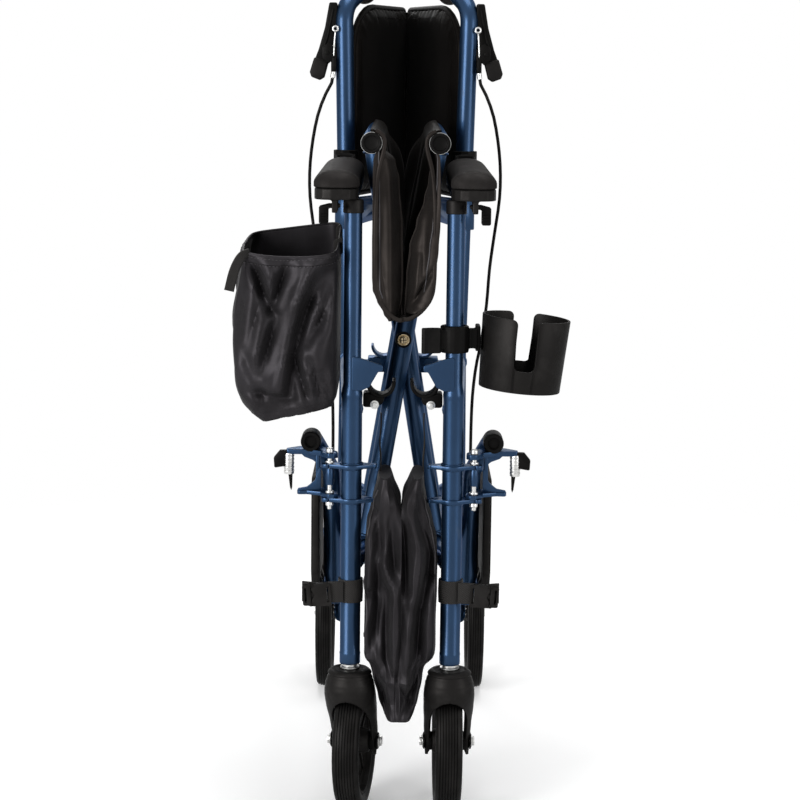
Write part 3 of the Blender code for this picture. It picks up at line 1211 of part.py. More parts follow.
def cable_route(side):
    """Points that the brake cable goes through, chosen by hand.

    The third number is the share of the height between its two ends.
    """
    inner = [(0.0888, 0.3895, 0.9909), (0.0915, 0.3895, 0.9728), (0.0985, 0.3905, 0.9492),
             (0.1080, 0.396, 0.9038), (0.1150, 0.404, 0.8403), (0.1185, 0.412, 0.7768),
             (0.1180, 0.417, 0.7132), (0.1130, 0.420, 0.6407), (0.1075, 0.420, 0.5590),
             (0.1045, 0.420, 0.4773), (0.0990, 0.420, 0.3956), (0.0925, 0.421, 0.3321),
             (0.0890, 0.424, 0.2686), (0.0880, 0.430, 0.2051), (0.0880, 0.437, 0.1325),
             (0.0885, 0.444, 0.0690)]
    x, y, z = cable_end(side)
    start = cable_start(side)
    route = [(side * a, b, z + (start[2] - z) * share) for a, b, share in inner]
    return [start] + route + [(x, y - 0.0032, z + 0.010), (x, y, z)]


def smooth_path(points, spacing):
    """Evenly spaced points of a smooth curve through the given ones."""
    places = [Vector(p) for p in points]
    places = [places[0] * 2 - places[1]] + places + [places[-1] * 2 - places[-2]]
    fine = []
    for a, b, c, d in zip(places, places[1:], places[2:], places[3:]):
        for step in range(12):
            t = step / 12
            fine.append(0.5 * (2 * b + (c - a) * t + (2 * a - 5 * b + 4 * c - d) * t * t
                               + (3 * b - a - 3 * c + d) * t * t * t))
    fine.append(places[-2])
    length = sum((b - a).length for a, b in zip(fine, fine[1:]))
    count = max(2, round(length / spacing))
    even, walked, index = [fine[0]], 0.0, 1
    for a, b in zip(fine, fine[1:]):
        step = (b - a).length
        while index < count and walked + step >= length * index / count:
            even.append(a.lerp(b, (length * index / count - walked) / step))
            index += 1
        walked += step
    return even + [fine[-1]]


def brake_cable(side):
    """Bowden cable from the lever's adjuster to the stop on the rear leg."""
    path = smooth_path(cable_route(side), CABLE_R * 6)
    curve = tube_curve("cable", path, CABLE_R, 8)
    holder = bpy.data.objects.new("brake_cable_" + SIDE_NAME[side], curve)
    holder.data.materials.append(material("rubber"))
    PARTS.objects.link(holder)
    return holder


def shoe_x():
    """Inner and outer X of the brake shoe's plate."""
    inner = REAR_WHEEL_X - SHOE_T / 2 - 0.004
    return inner, inner + SHOE_T


def brake_shoe(side):
    """Plate that turns on the leg's pin and presses a pad on the rear tyre."""
    name = SIDE_NAME[side]
    inner, outer = shoe_x()
    y, z = SHOE_HINGE_Y, SHOE_HINGE_Z
    body = plate("shoe", rounded([(y - 0.009, z - 0.004), (y - 0.006, z + 0.009), (y + 0.006, z + 0.008),
                                  (y + 0.014, z - 0.010),
                                  (y + 0.006, z - 0.030), (y - 0.006, z - 0.030)], 0.004), "X",
                 side * inner, side * outer)
    rim = REAR_WHEEL_R + SHOE_GAP
    pad_face = arc((WHEELBASE_Y, REAR_WHEEL_R), rim, 118, 133, 4)
    pad_back = arc((WHEELBASE_Y, REAR_WHEEL_R), rim + 0.012, 131, 120, 3)
    pad = plate("shoe_pad", pad_face + pad_back, "X", side * (REAR_WHEEL_X - 0.009),
                side * (REAR_WHEEL_X + 0.009))
    hole = rod("shoe_hole", (side * 0.08, y, z), (side * 0.12, y, z), bore(0.0032, PIN_SIDES),
               sides=PIN_SIDES)
    cut(join(body, pad), hole)
    return publish(body, "brake_shoe_" + name, "black_plastic",
                   pivot("shoe_hinge_" + name, (side * (inner + outer) / 2, y, z)))


# Cup holder and storage straps


def cup_holder():
    """Open cup holder with a slot down its front and a drain in its floor."""
    inside = CUP_R - CUP_WALL
    cup = turned("cup", [
        (inside, CUP_HIGH_Z), (CUP_R, CUP_HIGH_Z), (CUP_R - 0.0015, CUP_LOW_Z + 0.004),
        (CUP_R - 0.005, CUP_LOW_Z),
        (0.010, CUP_LOW_Z), (0.010, CUP_LOW_Z + 0.003), (inside - 0.004, CUP_LOW_Z + 0.003),
        (inside - 0.0015, CUP_LOW_Z + 0.006), (inside, CUP_HIGH_Z)], 18)
    cup.location = (CUP_X, CUP_Y, 0)
    slot = plate("slot", rounded([(-CUP_SLOT_W / 2, CUP_SLOT_Z), (-CUP_SLOT_W / 2, CUP_HIGH_Z + 0.03),
                                  (CUP_SLOT_W / 2, CUP_HIGH_Z + 0.03), (CUP_SLOT_W / 2, CUP_SLOT_Z)],
                                 0.005, 2),
                 "Y", -CUP_R - 0.01, 0)
    return publish(cut(cup, slot), "cup_holder", "black_plastic")


def cup_clamp():
    """Ring clamp on the right armrest post, with its arm to the cup and a cam lever."""
    low, high = CUP_CLAMP_Z, CUP_CLAMP_Z + CUP_CLAMP_H
    ring = turned("cup_clamp", ring_profile(bore(POST_R), CUP_CLAMP_R, low, high), 16)
    ring.location = (LEG_X, 0, 0)
    arm_end = CUP_X - CUP_R - GAP - LEG_X
    arm = box("cup_arm", (CUP_CLAMP_R - 0.003, 0.0, low + 0.004), (arm_end - 0.0035, 0.014, high - 0.004))
    pad = box("cup_pad", (arm_end - 0.005, 0.002, low + 0.001), (arm_end + 0.0002, 0.030, high - 0.001))
    ear = box("clamp_ear", (-CUP_CLAMP_R - 0.008, -0.013, low + 0.004),
              (-CUP_CLAMP_R + 0.008, -0.008, high - 0.004))
    return publish(join(ring, arm, pad, ear), "cup_clamp", "black_plastic")


def cup_lever():
    """Cam lever that closes the cup holder's clamp."""
    low, high = CUP_CLAMP_Z + 0.001, CUP_CLAMP_Z + CUP_CLAMP_H - 0.001
    x = LEG_X - CUP_CLAMP_R - 0.008
    body = plate("cam", rounded([(x - 0.012, -0.0290), (x - 0.012, -0.0170), (x - 0.002, -0.0133),
                                 (x + 0.009, -0.0133),
                                 (x + 0.009, -0.0190), (x - 0.004, -0.0230)], 0.0025), "Z", low, high)
    return publish(body, "cup_clamp_lever", "black_plastic",
                   pivot("cup_lever_hinge", (x + 0.0055, -0.0160, low)))


def tie_strap(side):
    """Strap round the front leg with its side-release buckle, which ties the stored footrest."""
    low, high = STRAP_Z, STRAP_Z + STRAP_H
    inner = bore(TUBE_R)
    loop = turned("strap", ring_profile(inner, inner + STRAP_WALL, low, high))
    loop.location = (side * LEG_X, 0, 0)
    tail = box("tail", (side * 0.0085, -0.0125, low + 0.001), (side * 0.022, -0.0095, high - 0.001))
    body = box("buckle", (side * 0.0180, -0.0190, low - 0.003), (side * 0.0350, -0.0050, high + 0.003))
    tongue = box("buckle_tongue", (side * 0.0340, -0.0170, low + 0.002),
                 (side * 0.0520, -0.0070, high - 0.002))
    for piece in (body, tongue):
        soften(piece, 0.0025)
    end = box("strap_end", (side * 0.0300, -0.0130, low - 0.034), (side * 0.0335, -0.0105, low))
    return publish(join(loop, tail, body, tongue, end), "tie_strap_" + SIDE_NAME[side], "soft_black")


def centre(chair):
    """Move the chair so that the middle of its bounding box stands over the origin."""
    graph = bpy.context.evaluated_depsgraph_get()
    corners = []
    for made in PARTS.objects:
        if made.type == "EMPTY":
            continue
        shape = made.evaluated_get(graph)
        corners += [shape.matrix_world @ Vector(corner) for corner in shape.bound_box]
    x = (min(c.x for c in corners) + max(c.x for c in corners)) / 2
    y = (min(c.y for c in corners) + max(c.y for c in corners)) / 2
    chair.location = (-x, -y, 0)
    print("box shift", round(-x, 6), round(-y, 6))


def build():
    """Make every part, carried by one empty."""
    clear_scene()
    brace("cross_brace_a", LEFT, 0)
    brace("cross_brace_b", RIGHT, ARM_PITCH)
    pivot_bolt("pivot_bolt_front", FRONT_BRACE_Y, 1)
    pivot_bolt("pivot_bolt_rear", REAR_BRACE_Y, -1)
    for side in (LEFT, RIGHT):
        for make in (side_frame, hand_grip, rail_plug, front_saddle, seat_half, backrest_half,
                     back_stretcher,
                     under_seat_bag, armrest_collar, armrest, footrest_pin, footrest, caster, rear_wheel,
                     brake_housing, brake_lever, brake_cable, brake_shoe, tie_strap):
            make(side)
    side_bag()
    cup_holder()
    cup_clamp()
    cup_lever()
    chair = pivot("chair", (0, 0, 0))
    for made in list(bpy.data.objects):
        if made.parent is None and made is not chair:
            made.parent = chair
    centre(chair)


build()
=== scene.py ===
"""Looks of the folded rollator transport chair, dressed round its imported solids.

Lengths are metres, Z points up and the chair faces -Y. Every piece is drawn in the chair's own
frame, with the front legs at Y = 0, for the right side, and then mirrored for the left one.
"""

from __future__ import annotations

import json
import logging
import math
from dataclasses import dataclass, field
from enum import Enum
from typing import Callable, Sequence

import bmesh
import bpy
from mathutils import Matrix, Vector, noise

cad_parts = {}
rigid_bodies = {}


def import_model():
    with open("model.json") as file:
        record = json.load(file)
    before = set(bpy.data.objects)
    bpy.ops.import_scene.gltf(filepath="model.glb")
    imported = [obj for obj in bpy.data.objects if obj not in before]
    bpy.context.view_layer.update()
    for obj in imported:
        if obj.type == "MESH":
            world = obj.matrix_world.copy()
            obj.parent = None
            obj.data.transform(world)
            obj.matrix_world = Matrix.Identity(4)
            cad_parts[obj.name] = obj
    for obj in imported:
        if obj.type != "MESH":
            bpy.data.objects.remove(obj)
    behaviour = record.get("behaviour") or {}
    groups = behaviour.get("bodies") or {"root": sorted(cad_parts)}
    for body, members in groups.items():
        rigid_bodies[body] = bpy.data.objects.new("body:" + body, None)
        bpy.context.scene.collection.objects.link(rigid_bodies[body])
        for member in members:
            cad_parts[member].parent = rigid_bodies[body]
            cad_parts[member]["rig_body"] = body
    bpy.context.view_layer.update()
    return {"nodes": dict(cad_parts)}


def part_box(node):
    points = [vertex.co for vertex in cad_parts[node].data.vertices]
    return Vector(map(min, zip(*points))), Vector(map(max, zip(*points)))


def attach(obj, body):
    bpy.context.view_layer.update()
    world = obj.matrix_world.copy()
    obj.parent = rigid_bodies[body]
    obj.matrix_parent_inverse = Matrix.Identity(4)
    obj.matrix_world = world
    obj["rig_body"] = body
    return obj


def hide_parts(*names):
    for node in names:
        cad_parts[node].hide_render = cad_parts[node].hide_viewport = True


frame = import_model()

logging.basicConfig(level=logging.INFO, format="%(message)s")
LOG = logging.getLogger("chair")

Colour = tuple[float, float, float]
Outline = list[tuple[float, float]]
Point = Sequence[float]

# Sizes that several sub-assemblies share: places are from the chair's middle and its front legs.
TUBE_R = 0.0111
LEG_X = 0.0545
UPRIGHT_Y = 0.4
AXLE_Y, AXLE_Z = 0.528, 0.1
PIN_X = 0.0777
SADDLE_X, SADDLE_Z = 0.02374, 0.4805
FOOT_X, FOOT_Z = 0.0388, 0.288
BRACE_LOWER, BRACE_TILT = 0.2376, 9.4
ARM_FRONT_Y, ARM_REAR_Y, ARM_GAP = 0.085, 0.3225, 0.0229
CABLE_X, CABLE_Y, CABLE_STOP_Z = 0.0888, 0.3895, 0.262
GRIP_Y = 0.4623


class Side(Enum):
    """A side of the chair, with its sign along X."""

    LEFT = -1
    RIGHT = 1

    @property
    def word(self) -> str:
        """The side's name inside piece and body names."""
        return self.name.lower()


class Facing(Enum):
    """The axis that a flat outline is given its thickness along."""

    X = Matrix(((0, 0, 1, 0), (1, 0, 0, 0), (0, 1, 0, 0), (0, 0, 0, 1)))
    Y = Matrix(((1, 0, 0, 0), (0, 0, 1, 0), (0, 1, 0, 0), (0, 0, 0, 1)))
    Z = Matrix.Identity(4)


def chair_shift() -> Vector:
    """How far the chair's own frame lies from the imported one, read from the hand grips."""
    left_low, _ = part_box("hand_grip_left")
    right_low, right_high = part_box("hand_grip_right")
    return Vector(((left_low.x + right_high.x) / 2, right_low.y - GRIP_Y, 0.0))


SHIFT = chair_shift()


# Finishes


class Shader:
    """The nodes of one material or world, with its surface shader ready to be fed."""

    def __init__(self, owner: bpy.types.Material | bpy.types.World) -> None:
        """Open the nodes.

        Args:
            owner: The new material or world.
        """
        owner.use_nodes = True
        self.tree = owner.node_tree
        self.surface = self.tree.nodes.get("Principled BSDF") or self.tree.nodes["Background"]

    def feed(self, socket: bpy.types.NodeSocket, value: object) -> None:
        """Link a signal or an output to a socket, or set its constant."""
        if isinstance(value, Signal):
            self.tree.links.new(value.socket, socket)
        elif isinstance(value, bpy.types.NodeSocket):
            self.tree.links.new(value, socket)
        elif isinstance(value, tuple) and len(value) == 3 and socket.type == "RGBA":
            socket.default_value = (*value, 1.0)
        else:
            socket.default_value = value

    def node(self, kind: str, settings: dict | None = None, inputs: dict | None = None) -> bpy.types.Node:
        """Make a node.

        Args:
            kind: The node's type, without its ShaderNode start.
            settings: Properties, which are set first.
            inputs: Socket names or numbers, with a value or a link for each.

        Returns:
            The node.
        """
        made = self.tree.nodes.new("ShaderNode" + kind)
        for key, value in (settings or {}).items():
            setattr(made, key, value)
        for key, value in (inputs or {}).items():
            self.feed(made.inputs[key], value)
        return made

    def dress(self, **values: object) -> None:
        """Feed the surface shader's sockets, whose spaces are written as underscores."""
        for key, value in values.items():
            self.feed(self.surface.inputs[key.replace("_", " ")], value)

    def place(self, scale: Point = (1, 1, 1)) -> bpy.types.NodeSocket:
        """Coordinates on the piece, scaled along each axis."""
        where = self.node("TexCoord").outputs["Object"]
        return self.node("Mapping", None, {"Vector": where, "Scale": tuple(scale)}).outputs[0]

    def axis(self, name: str) -> "Signal":
        """One coordinate of the piece, in metres."""
        return Signal(self, self.node("SeparateXYZ", None, {0: self.place()}).outputs[name])

    def cloud(self, scale: float, detail: float = 3.0, stretch: Point = (1, 1, 1)) -> "Signal":
        """Soft noise from 0 to 1.

        Args:
            scale: Lumps for each metre.
            detail: Octaves.
            stretch: Extra scale along each axis.

        Returns:
            The noise.
        """
        made = self.node("TexNoise", None, {"Vector": self.place(stretch), "Scale": scale,
                                            "Detail": detail, "Roughness": 0.55})
        return Signal(self, made.outputs[0])

    def blend(self, first: object, second: object, share: object) -> bpy.types.NodeSocket:
        """A colour between two others."""
        return self.node("Mix", {"data_type": "RGBA"}, {0: share, 6: first, 7: second}).outputs[2]

    def relief(self, height: "Signal", strength: float, depth: float) -> None:
        """Give the surface small bumps.

        Args:
            height: The relief, about 0 to 1.
            strength: How much of it shows.
            depth: Its height in metres.
        """
        made = self.node("Bump", None, {"Height": height, "Strength": strength, "Distance": depth})
        self.dress(Normal=made.outputs[0])


@dataclass(frozen=True)
class Signal:
    """A number that varies over a surface, with Python's operators."""

    shader: Shader
    socket: bpy.types.NodeSocket

    def _maths(self, operation: str, *values: object) -> "Signal":
        """A Math node on these values."""
        made = self.shader.node("Math", {"operation": operation}, dict(enumerate(values)))
        return Signal(self.shader, made.outputs[0])

    def __add__(self, other: "Signal | float") -> "Signal":
        """Sum."""
        return self._maths("ADD", self, other)

    __radd__ = __add__

    def __sub__(self, other: "Signal | float") -> "Signal":
        """Difference."""
        return self._maths("SUBTRACT", self, other)

    def __rsub__(self, other: "Signal | float") -> "Signal":
        """Difference from a number."""
        return self._maths("SUBTRACT", other, self)

    def __mul__(self, other: "Signal | float") -> "Signal":
        """Product."""
        return self._maths("MULTIPLY", self, other)

    __rmul__ = __mul__

    def __pow__(self, other: float) -> "Signal":
        """Power."""
        return self._maths("POWER", self, other)

    def __or__(self, other: "Signal") -> "Signal":
        """The larger of two."""
        return self._maths("MAXIMUM", self, other)

    def wave(self, pitch: float) -> "Signal":
        """A sine from 0 to 1 that repeats every pitch metres."""
        return self._maths("SINE", self * (math.tau / pitch)) * 0.5 + 0.5

    def span(self, low: float, high: float, start: float = 0.0, end: float = 1.0) -> "Signal":
        """Stretch low..high over start..end, and hold it there."""
        made = self.shader.node("MapRange", {"clamp": True}, {0: self, 1: low, 2: high, 3: start, 4: end})
        return Signal(self.shader, made.outputs[0])


# A dark tint keeps the white room's mirror image off near-black pieces, while lamps still streak them.
DARK_TINT: Colour = (0.3, 0.3, 0.3)
FAINT_SPECULAR = 0.1


@dataclass(frozen=True)
class Paint:
    """Metallic paint under a clear coat, with flakes and fine dust."""

    colour: Colour
    deep: Colour
    dust: Colour = (0.1, 0.125, 0.155)
    tint: Colour = (0.3, 0.42, 0.6)
    roughness: float = 0.3

    def fill(self, shader: Shader) -> None:
        """Dress a material as this paint."""
        flake = shader.cloud(2600, 2).span(0.35, 0.7)
        drift = shader.cloud(16, 4)
        scuff = shader.cloud(90, 6, (1, 1, 0.25)).span(0.66, 0.8)
        tone = shader.blend(self.deep, self.colour, flake * 0.45 + drift * 0.55)
        shader.dress(Base_Color=shader.blend(tone, self.dust, scuff * 0.16),
                     Roughness=self.roughness + drift * 0.08 + scuff * 0.14,
                     Metallic=0.8 - scuff * 0.3, Specular_IOR_Level=FAINT_SPECULAR,
                     Specular_Tint=self.tint, Coat_Weight=0.16, Coat_Roughness=0.12)
        shader.relief(shader.cloud(700, 2) * 0.6 + flake * 0.4, 0.1, 0.0001)


@dataclass(frozen=True)
class Plastic:
    """Moulded plastic with a spark-eroded grain and paler rubbed places."""

    colour: Colour
    pale: Colour
    roughness: float
    grain: float = 2200.0
    depth: float = 0.00012

    def fill(self, shader: Shader) -> None:
        """Dress a material as this plastic."""
        grain = shader.cloud(self.grain, 3)
        rubbed = shader.cloud(38, 6).span(0.5, 0.78)
        shader.dress(Base_Color=shader.blend(self.colour, self.pale, rubbed * 0.55 + grain * 0.25),
                     Roughness=self.roughness + grain * 0.14 - rubbed * 0.08, Metallic=0.55,
                     Specular_IOR_Level=FAINT_SPECULAR, Specular_Tint=DARK_TINT)
        shader.relief(grain, 0.35, self.depth)


@dataclass(frozen=True)
class Cloth:
    """Woven nylon: crossing yarns, a slight sheen and uneven dye."""

    colour: Colour
    pale: Colour
    pitch: float
    sheen: float

    def fill(self, shader: Shader) -> None:
        """Dress a material as this cloth."""
        warp, weft = (shader.cloud(1.0 / self.pitch, 2, run) for run in ((1, 1, 0.07), (0.07, 0.07, 1)))
        yarn = warp * 0.5 + weft * 0.5
        drift = shader.cloud(22, 5).span(0.3, 0.75)
        fuzz = shader.cloud(3200, 2)
        dye = drift * 0.55 + yarn * 0.3 + fuzz * 0.15
        shader.dress(Base_Color=shader.blend(self.colour, self.pale, dye), Roughness=0.4 + fuzz * 0.16,
                     Sheen_Weight=self.sheen, Sheen_Roughness=0.45, Specular_IOR_Level=0.08, Metallic=0.6,
                     Specular_Tint=DARK_TINT)
        shader.relief(yarn * 0.8 + fuzz * 0.2, 0.45, 0.00018)


@dataclass(frozen=True)
class Webbing:
    """Ribbed strap: coarse diagonal yarns across the band."""

    colour: Colour
    pale: Colour
    pitch: float = 0.0024

    def fill(self, shader: Shader) -> None:
        """Dress a material as this strap."""
        z, across = shader.axis("Z"), (shader.axis("X") + shader.axis("Y")) * 0.9
        rib, cross = (z + across).wave(self.pitch), (z - across).wave(self.pitch)
        twill = rib * 0.6 + rib * cross * 0.4
        wear = shader.cloud(120, 4)
        shader.dress(Base_Color=shader.blend(self.colour, self.pale, twill * 0.6 + wear * 0.3),
                     Roughness=0.66 + wear * 0.15, Sheen_Weight=0.04, Specular_IOR_Level=0.16)
        shader.relief(twill, 0.7, 0.0004)


@dataclass(frozen=True)
class Rubber:
    """Matt tyre rubber with dusty hollows."""

    colour: Colour
    dust: Colour

    def fill(self, shader: Shader) -> None:
        """Dress a material as this rubber."""
        speck = shader.cloud(900, 4)
        dirt = shader.cloud(45, 6).span(0.48, 0.75)
        shader.dress(Base_Color=shader.blend(self.colour, self.dust, dirt * 0.5 + speck * 0.2),
                     Roughness=0.32 + speck * 0.16 + dirt * 0.1, Metallic=0.6,
                     Specular_IOR_Level=FAINT_SPECULAR, Specular_Tint=DARK_TINT)
        shader.relief(speck, 0.35, 0.0002)


@dataclass(frozen=True)
class Metal:
    """Bare plated metal, drawn along its length, with spangles and tarnish."""

    colour: Colour
    tarnish: Colour
    roughness: float

    def fill(self, shader: Shader) -> None:
        """Dress a material as this metal."""
        drawn = shader.cloud(800, 3, (1, 1, 0.12))
        spot = shader.cloud(170, 5).span(0.52, 0.74)
        shader.dress(Base_Color=shader.blend(self.colour, self.tarnish, spot * 0.6 + drawn * 0.2),
                     Roughness=self.roughness + drawn * 0.14 + spot * 0.18, Metallic=1.0)
        shader.relief(drawn, 0.18, 0.0001)


class Look(Enum):
    """The chair's finishes, each behind the name of the material slot that it stands in."""

    PAINT = "blue_paint", Paint((0.027, 0.06, 0.122), (0.01, 0.026, 0.06))
    BLACK = "black_plastic", Plastic((0.0055, 0.0053, 0.0052), (0.015, 0.0145, 0.014), 0.4)
    CHARCOAL = "black_plastic", Plastic((0.012, 0.0112, 0.0108), (0.03, 0.0285, 0.0275), 0.38)
    FOAM = "soft_black", Plastic((0.016, 0.0145, 0.014), (0.036, 0.0335, 0.0325), 0.6, 1500.0, 0.0002)
    GREY = "grey_plastic", Plastic((0.013, 0.0122, 0.0118), (0.03, 0.0285, 0.0275), 0.48, 1700.0)
    CLOTH = "black_cloth", Cloth((0.013, 0.012, 0.0128), (0.038, 0.0355, 0.039), 0.0011, 0.03)
    # A darker copy of the seat's own cloth (TAUPE, on its front panel), used on the seat cloth behind that
    # panel and on the backrest: painted shade.
    DARK_CLOTH = "black_cloth", Cloth((0.003, 0.0025, 0.0022), (0.011, 0.0094, 0.0084), 0.0013, 0.01)
    TAUPE = "black_cloth", Cloth((0.011, 0.0094, 0.0086), (0.034, 0.029, 0.0265), 0.0012, 0.03)
    TRIM = "black_cloth", Cloth((0.03, 0.0285, 0.03), (0.07, 0.066, 0.07), 0.0009, 0.08)
    STRAP = "black_cloth", Webbing((0.006, 0.0055, 0.0052), (0.033, 0.0305, 0.029))
    RUBBER = "rubber", Rubber((0.0085, 0.0082, 0.008), (0.024, 0.023, 0.022))
    ZINC = "zinc", Metal((0.6, 0.6, 0.59), (0.3, 0.3, 0.285), 0.24)
    BRASS = "brass", Metal((0.56, 0.46, 0.3), (0.3, 0.24, 0.155), 0.28)

    @property
    def slot(self) -> str:
        """The record's material slot."""
        return self.value[0]

    @property
    def material(self) -> bpy.types.Material:
        """The finish's material, made once."""
        name = "finish_" + self.name.lower()
        made = bpy.data.materials.get(name)
        if made is None:
            made = bpy.data.materials.new(name)
            self.value[1].fill(Shader(made))
        return made


# Shaping


def at(x: float = 0.0, y: float = 0.0, z: float = 0.0, axis: str = "Z", degrees: float = 0.0) -> Matrix:
    """A place, turned about one of its own axes."""
    return Matrix.Translation((x, y, z)) @ Matrix.Rotation(math.radians(degrees), 4, axis)


def hold(value: float, low: float = 0.0, high: float = 1.0) -> float:
    """A value kept between two limits."""
    return max(low, min(high, value))


def step_up(value: float, low: float, high: float) -> float:
    """A smooth rise from 0 to 1 between two values."""
    share = hold((value - low) / (high - low))
    return share * share * (3 - 2 * share)


def between(table: Sequence[Sequence[float]], z: float) -> list[float]:
    """The row of a table at a height, eased between its neighbours."""
    for (z0, *a), (z1, *b) in zip(table, table[1:]):
        if z <= z1:
            ease = step_up(z, z0, z1)
            return [p + (q - p) * ease for p, q in zip(a, b)]
    return list(table[-1][1:])


def dent(x: float, z: float, fold: Sequence[float]) -> float:
    """How far one fold presses a panel in at a place.

    Args:
        x: The place across the panel.
        z: Its height.
        fold: The fold's two ends, its depth and its width.

    Returns:
        The depth there, which fades along the fold and across it.
    """
    x0, z0, x1, z1, depth, width = fold
    dx, dz = x1 - x0, z1 - z0
    share = hold(((x - x0) * dx + (z - z0) * dz) / math.hypot(dx, dz) ** 2)
    across = math.hypot(x - x0 - dx * share, z - z0 - dz * share)
    return depth * math.sin(math.pi * (0.12 + 0.76 * share)) ** 0.7 * math.exp(-(across / width) ** 2)


def mirrored(half: Outline) -> Outline:
    """A closed profile from one half of it, which the other repeats upside down."""
    return [*half, *((r, -z) for r, z in reversed(half) if z), half[0]]


def sleeve(inner: float, outer: float, low: float, high: float, inside: float, outside: float) -> Outline:
    """The closed profile of a sleeve whose edges are broken."""
    rise = 0.0006
    return [(inner, low + rise), (inner + inside, low), (outer - outside, low), (outer, low + rise),
            (outer, high - rise), (outer - outside, high), (inner + inside, high), (inner, high - rise),
            (inner, low + rise)]


def arc(centre: Point, radius: float, start: float, end: float, steps: int) -> Outline:
    """Points of a flat arc, with its angles in degrees."""
    turns = [math.radians(start + (end - start) * step / steps) for step in range(steps + 1)]
    return [(centre[0] + radius * math.cos(t), centre[1] + radius * math.sin(t)) for t in turns]


def ring_of(centre: Point, radius: float, steps: int = 24) -> Outline:
    """Points of a flat circle."""
    return arc(centre, radius, 0, 360 * (steps - 1) / steps, steps - 1)


def bent(points: Sequence[Point], radius: float, steps: int = 9) -> list[Vector]:
    """A path whose inner corners become arcs.

    Args:
        points: The corners, the two ends included.
        radius: Of the arcs, less where a corner has no room for it.
        steps: Stretches in each arc.

    Returns:
        The path's points.
    """
    corners = [Vector(p) for p in points]
    path = [corners[0]]
    for before, corner, after in zip(corners, corners[1:], corners[2:]):
        into, out = (before - corner).normalized(), (after - corner).normalized()
        half = into.angle(out) / 2
        room = 0.49 * min((before - corner).length, (after - corner).length)
        reach = min(radius / math.tan(half), room)
        centre = corner + (into + out).normalized() * (reach * math.tan(half) / math.sin(half))
        start, end = corner + into * reach - centre, corner + out * reach - centre
        path += [centre + start.slerp(end, step / steps) * start.length for step in range(steps + 1)]
    return [*path, corners[-1]]


def rounded(outline: Outline, radius: float, steps: int = 5) -> Outline:
    """A closed outline whose corners are rounded."""
    flat = [Vector((*p, 0)) for p in outline]
    return [(p.x, p.y) for p in bent([flat[-1], *flat, flat[0]], radius, steps)[1:-1]]


def path_length(path: Sequence[Vector]) -> float:
    """Length of a path."""
    return sum((b - a).length for a, b in zip(path, path[1:]))


def smooth_path(points: Sequence[Point], spacing: float, steps: int = 14) -> list[Vector]:
    """Evenly spaced points of a smooth curve through the given ones.

    Args:
        points: The points that the curve goes through.
        spacing: About how far apart the new ones are.
        steps: Stretches that each span is cut into on the way.

    Returns:
        The new points.
    """
    places = [Vector(p) for p in points]
    places = [places[0] * 2 - places[1], *places, places[-1] * 2 - places[-2]]
    fine: list[Vector] = []
    for a, b, c, d in zip(places, places[1:], places[2:], places[3:]):
        for t in (step / steps for step in range(steps)):
            fine.append(0.5 * (2 * b + (c - a) * t + (2 * a - 5 * b + 4 * c - d) * t * t
                               + (3 * b - a - 3 * c + d) * t * t * t))
    fine.append(places[-2])
    whole = path_length(fine)
    count = max(2, round(whole / spacing))
    even, walked, index = [fine[0]], 0.0, 1
    for a, b in zip(fine, fine[1:]):
        step = (b - a).length
        while index < count and walked + step >= whole * index / count:
            even.append(a.lerp(b, (whole * index / count - walked) / step))
            index += 1
        walked += step
    return [*even, fine[-1]]


def on_path(path: Sequence[Vector], share: float) -> tuple[Vector, Vector]:
    """A path's point at a share of its stretches, and its direction there."""
    where = share * (len(path) - 1)
    index = min(int(where), len(path) - 2)
    start, end = path[index], path[index + 1]
    return start.lerp(end, where - index), (end - start).normalized()


def turned_to(line: Vector) -> Matrix:
    """The turn that brings Z onto a line."""
    return Vector((0, 0, 1)).rotation_difference(line).to_matrix().to_4x4()


def soften(part: bmesh.types.BMesh, width: float, segments: int = 2, angle: float = 32.0) -> None:
    """Round a form's edges that are sharper than an angle."""
    part.normal_update()
    limit = math.radians(angle)
    edges = [e for e in part.edges if e.is_manifold and e.calc_face_angle(0.0) > limit]
    bmesh.ops.bevel(part, geom=edges, offset=width, offset_type="OFFSET", segments=segments,
                    profile=0.5, affect="EDGES", clamp_overlap=True, material=-1)


def ends_of(geom: Sequence[object]) -> tuple[list[bmesh.types.BMVert], list[bmesh.types.BMEdge]]:
    """The vertices of what an extrusion made, and the edges that join two of them."""
    verts = [g for g in geom if isinstance(g, bmesh.types.BMVert)]
    fresh = set(verts)
    return verts, [g for g in geom if isinstance(g, bmesh.types.BMEdge) and fresh.issuperset(g.verts)]


def show(name: str, data: bpy.types.Mesh, material: bpy.types.Material) -> bpy.types.Object:
    """An object of the scene from its mesh, in one material."""
    data.materials.clear()
    data.materials.append(material)
    made = bpy.data.objects.new(name, data)
    bpy.context.scene.collection.objects.link(made)
    return made


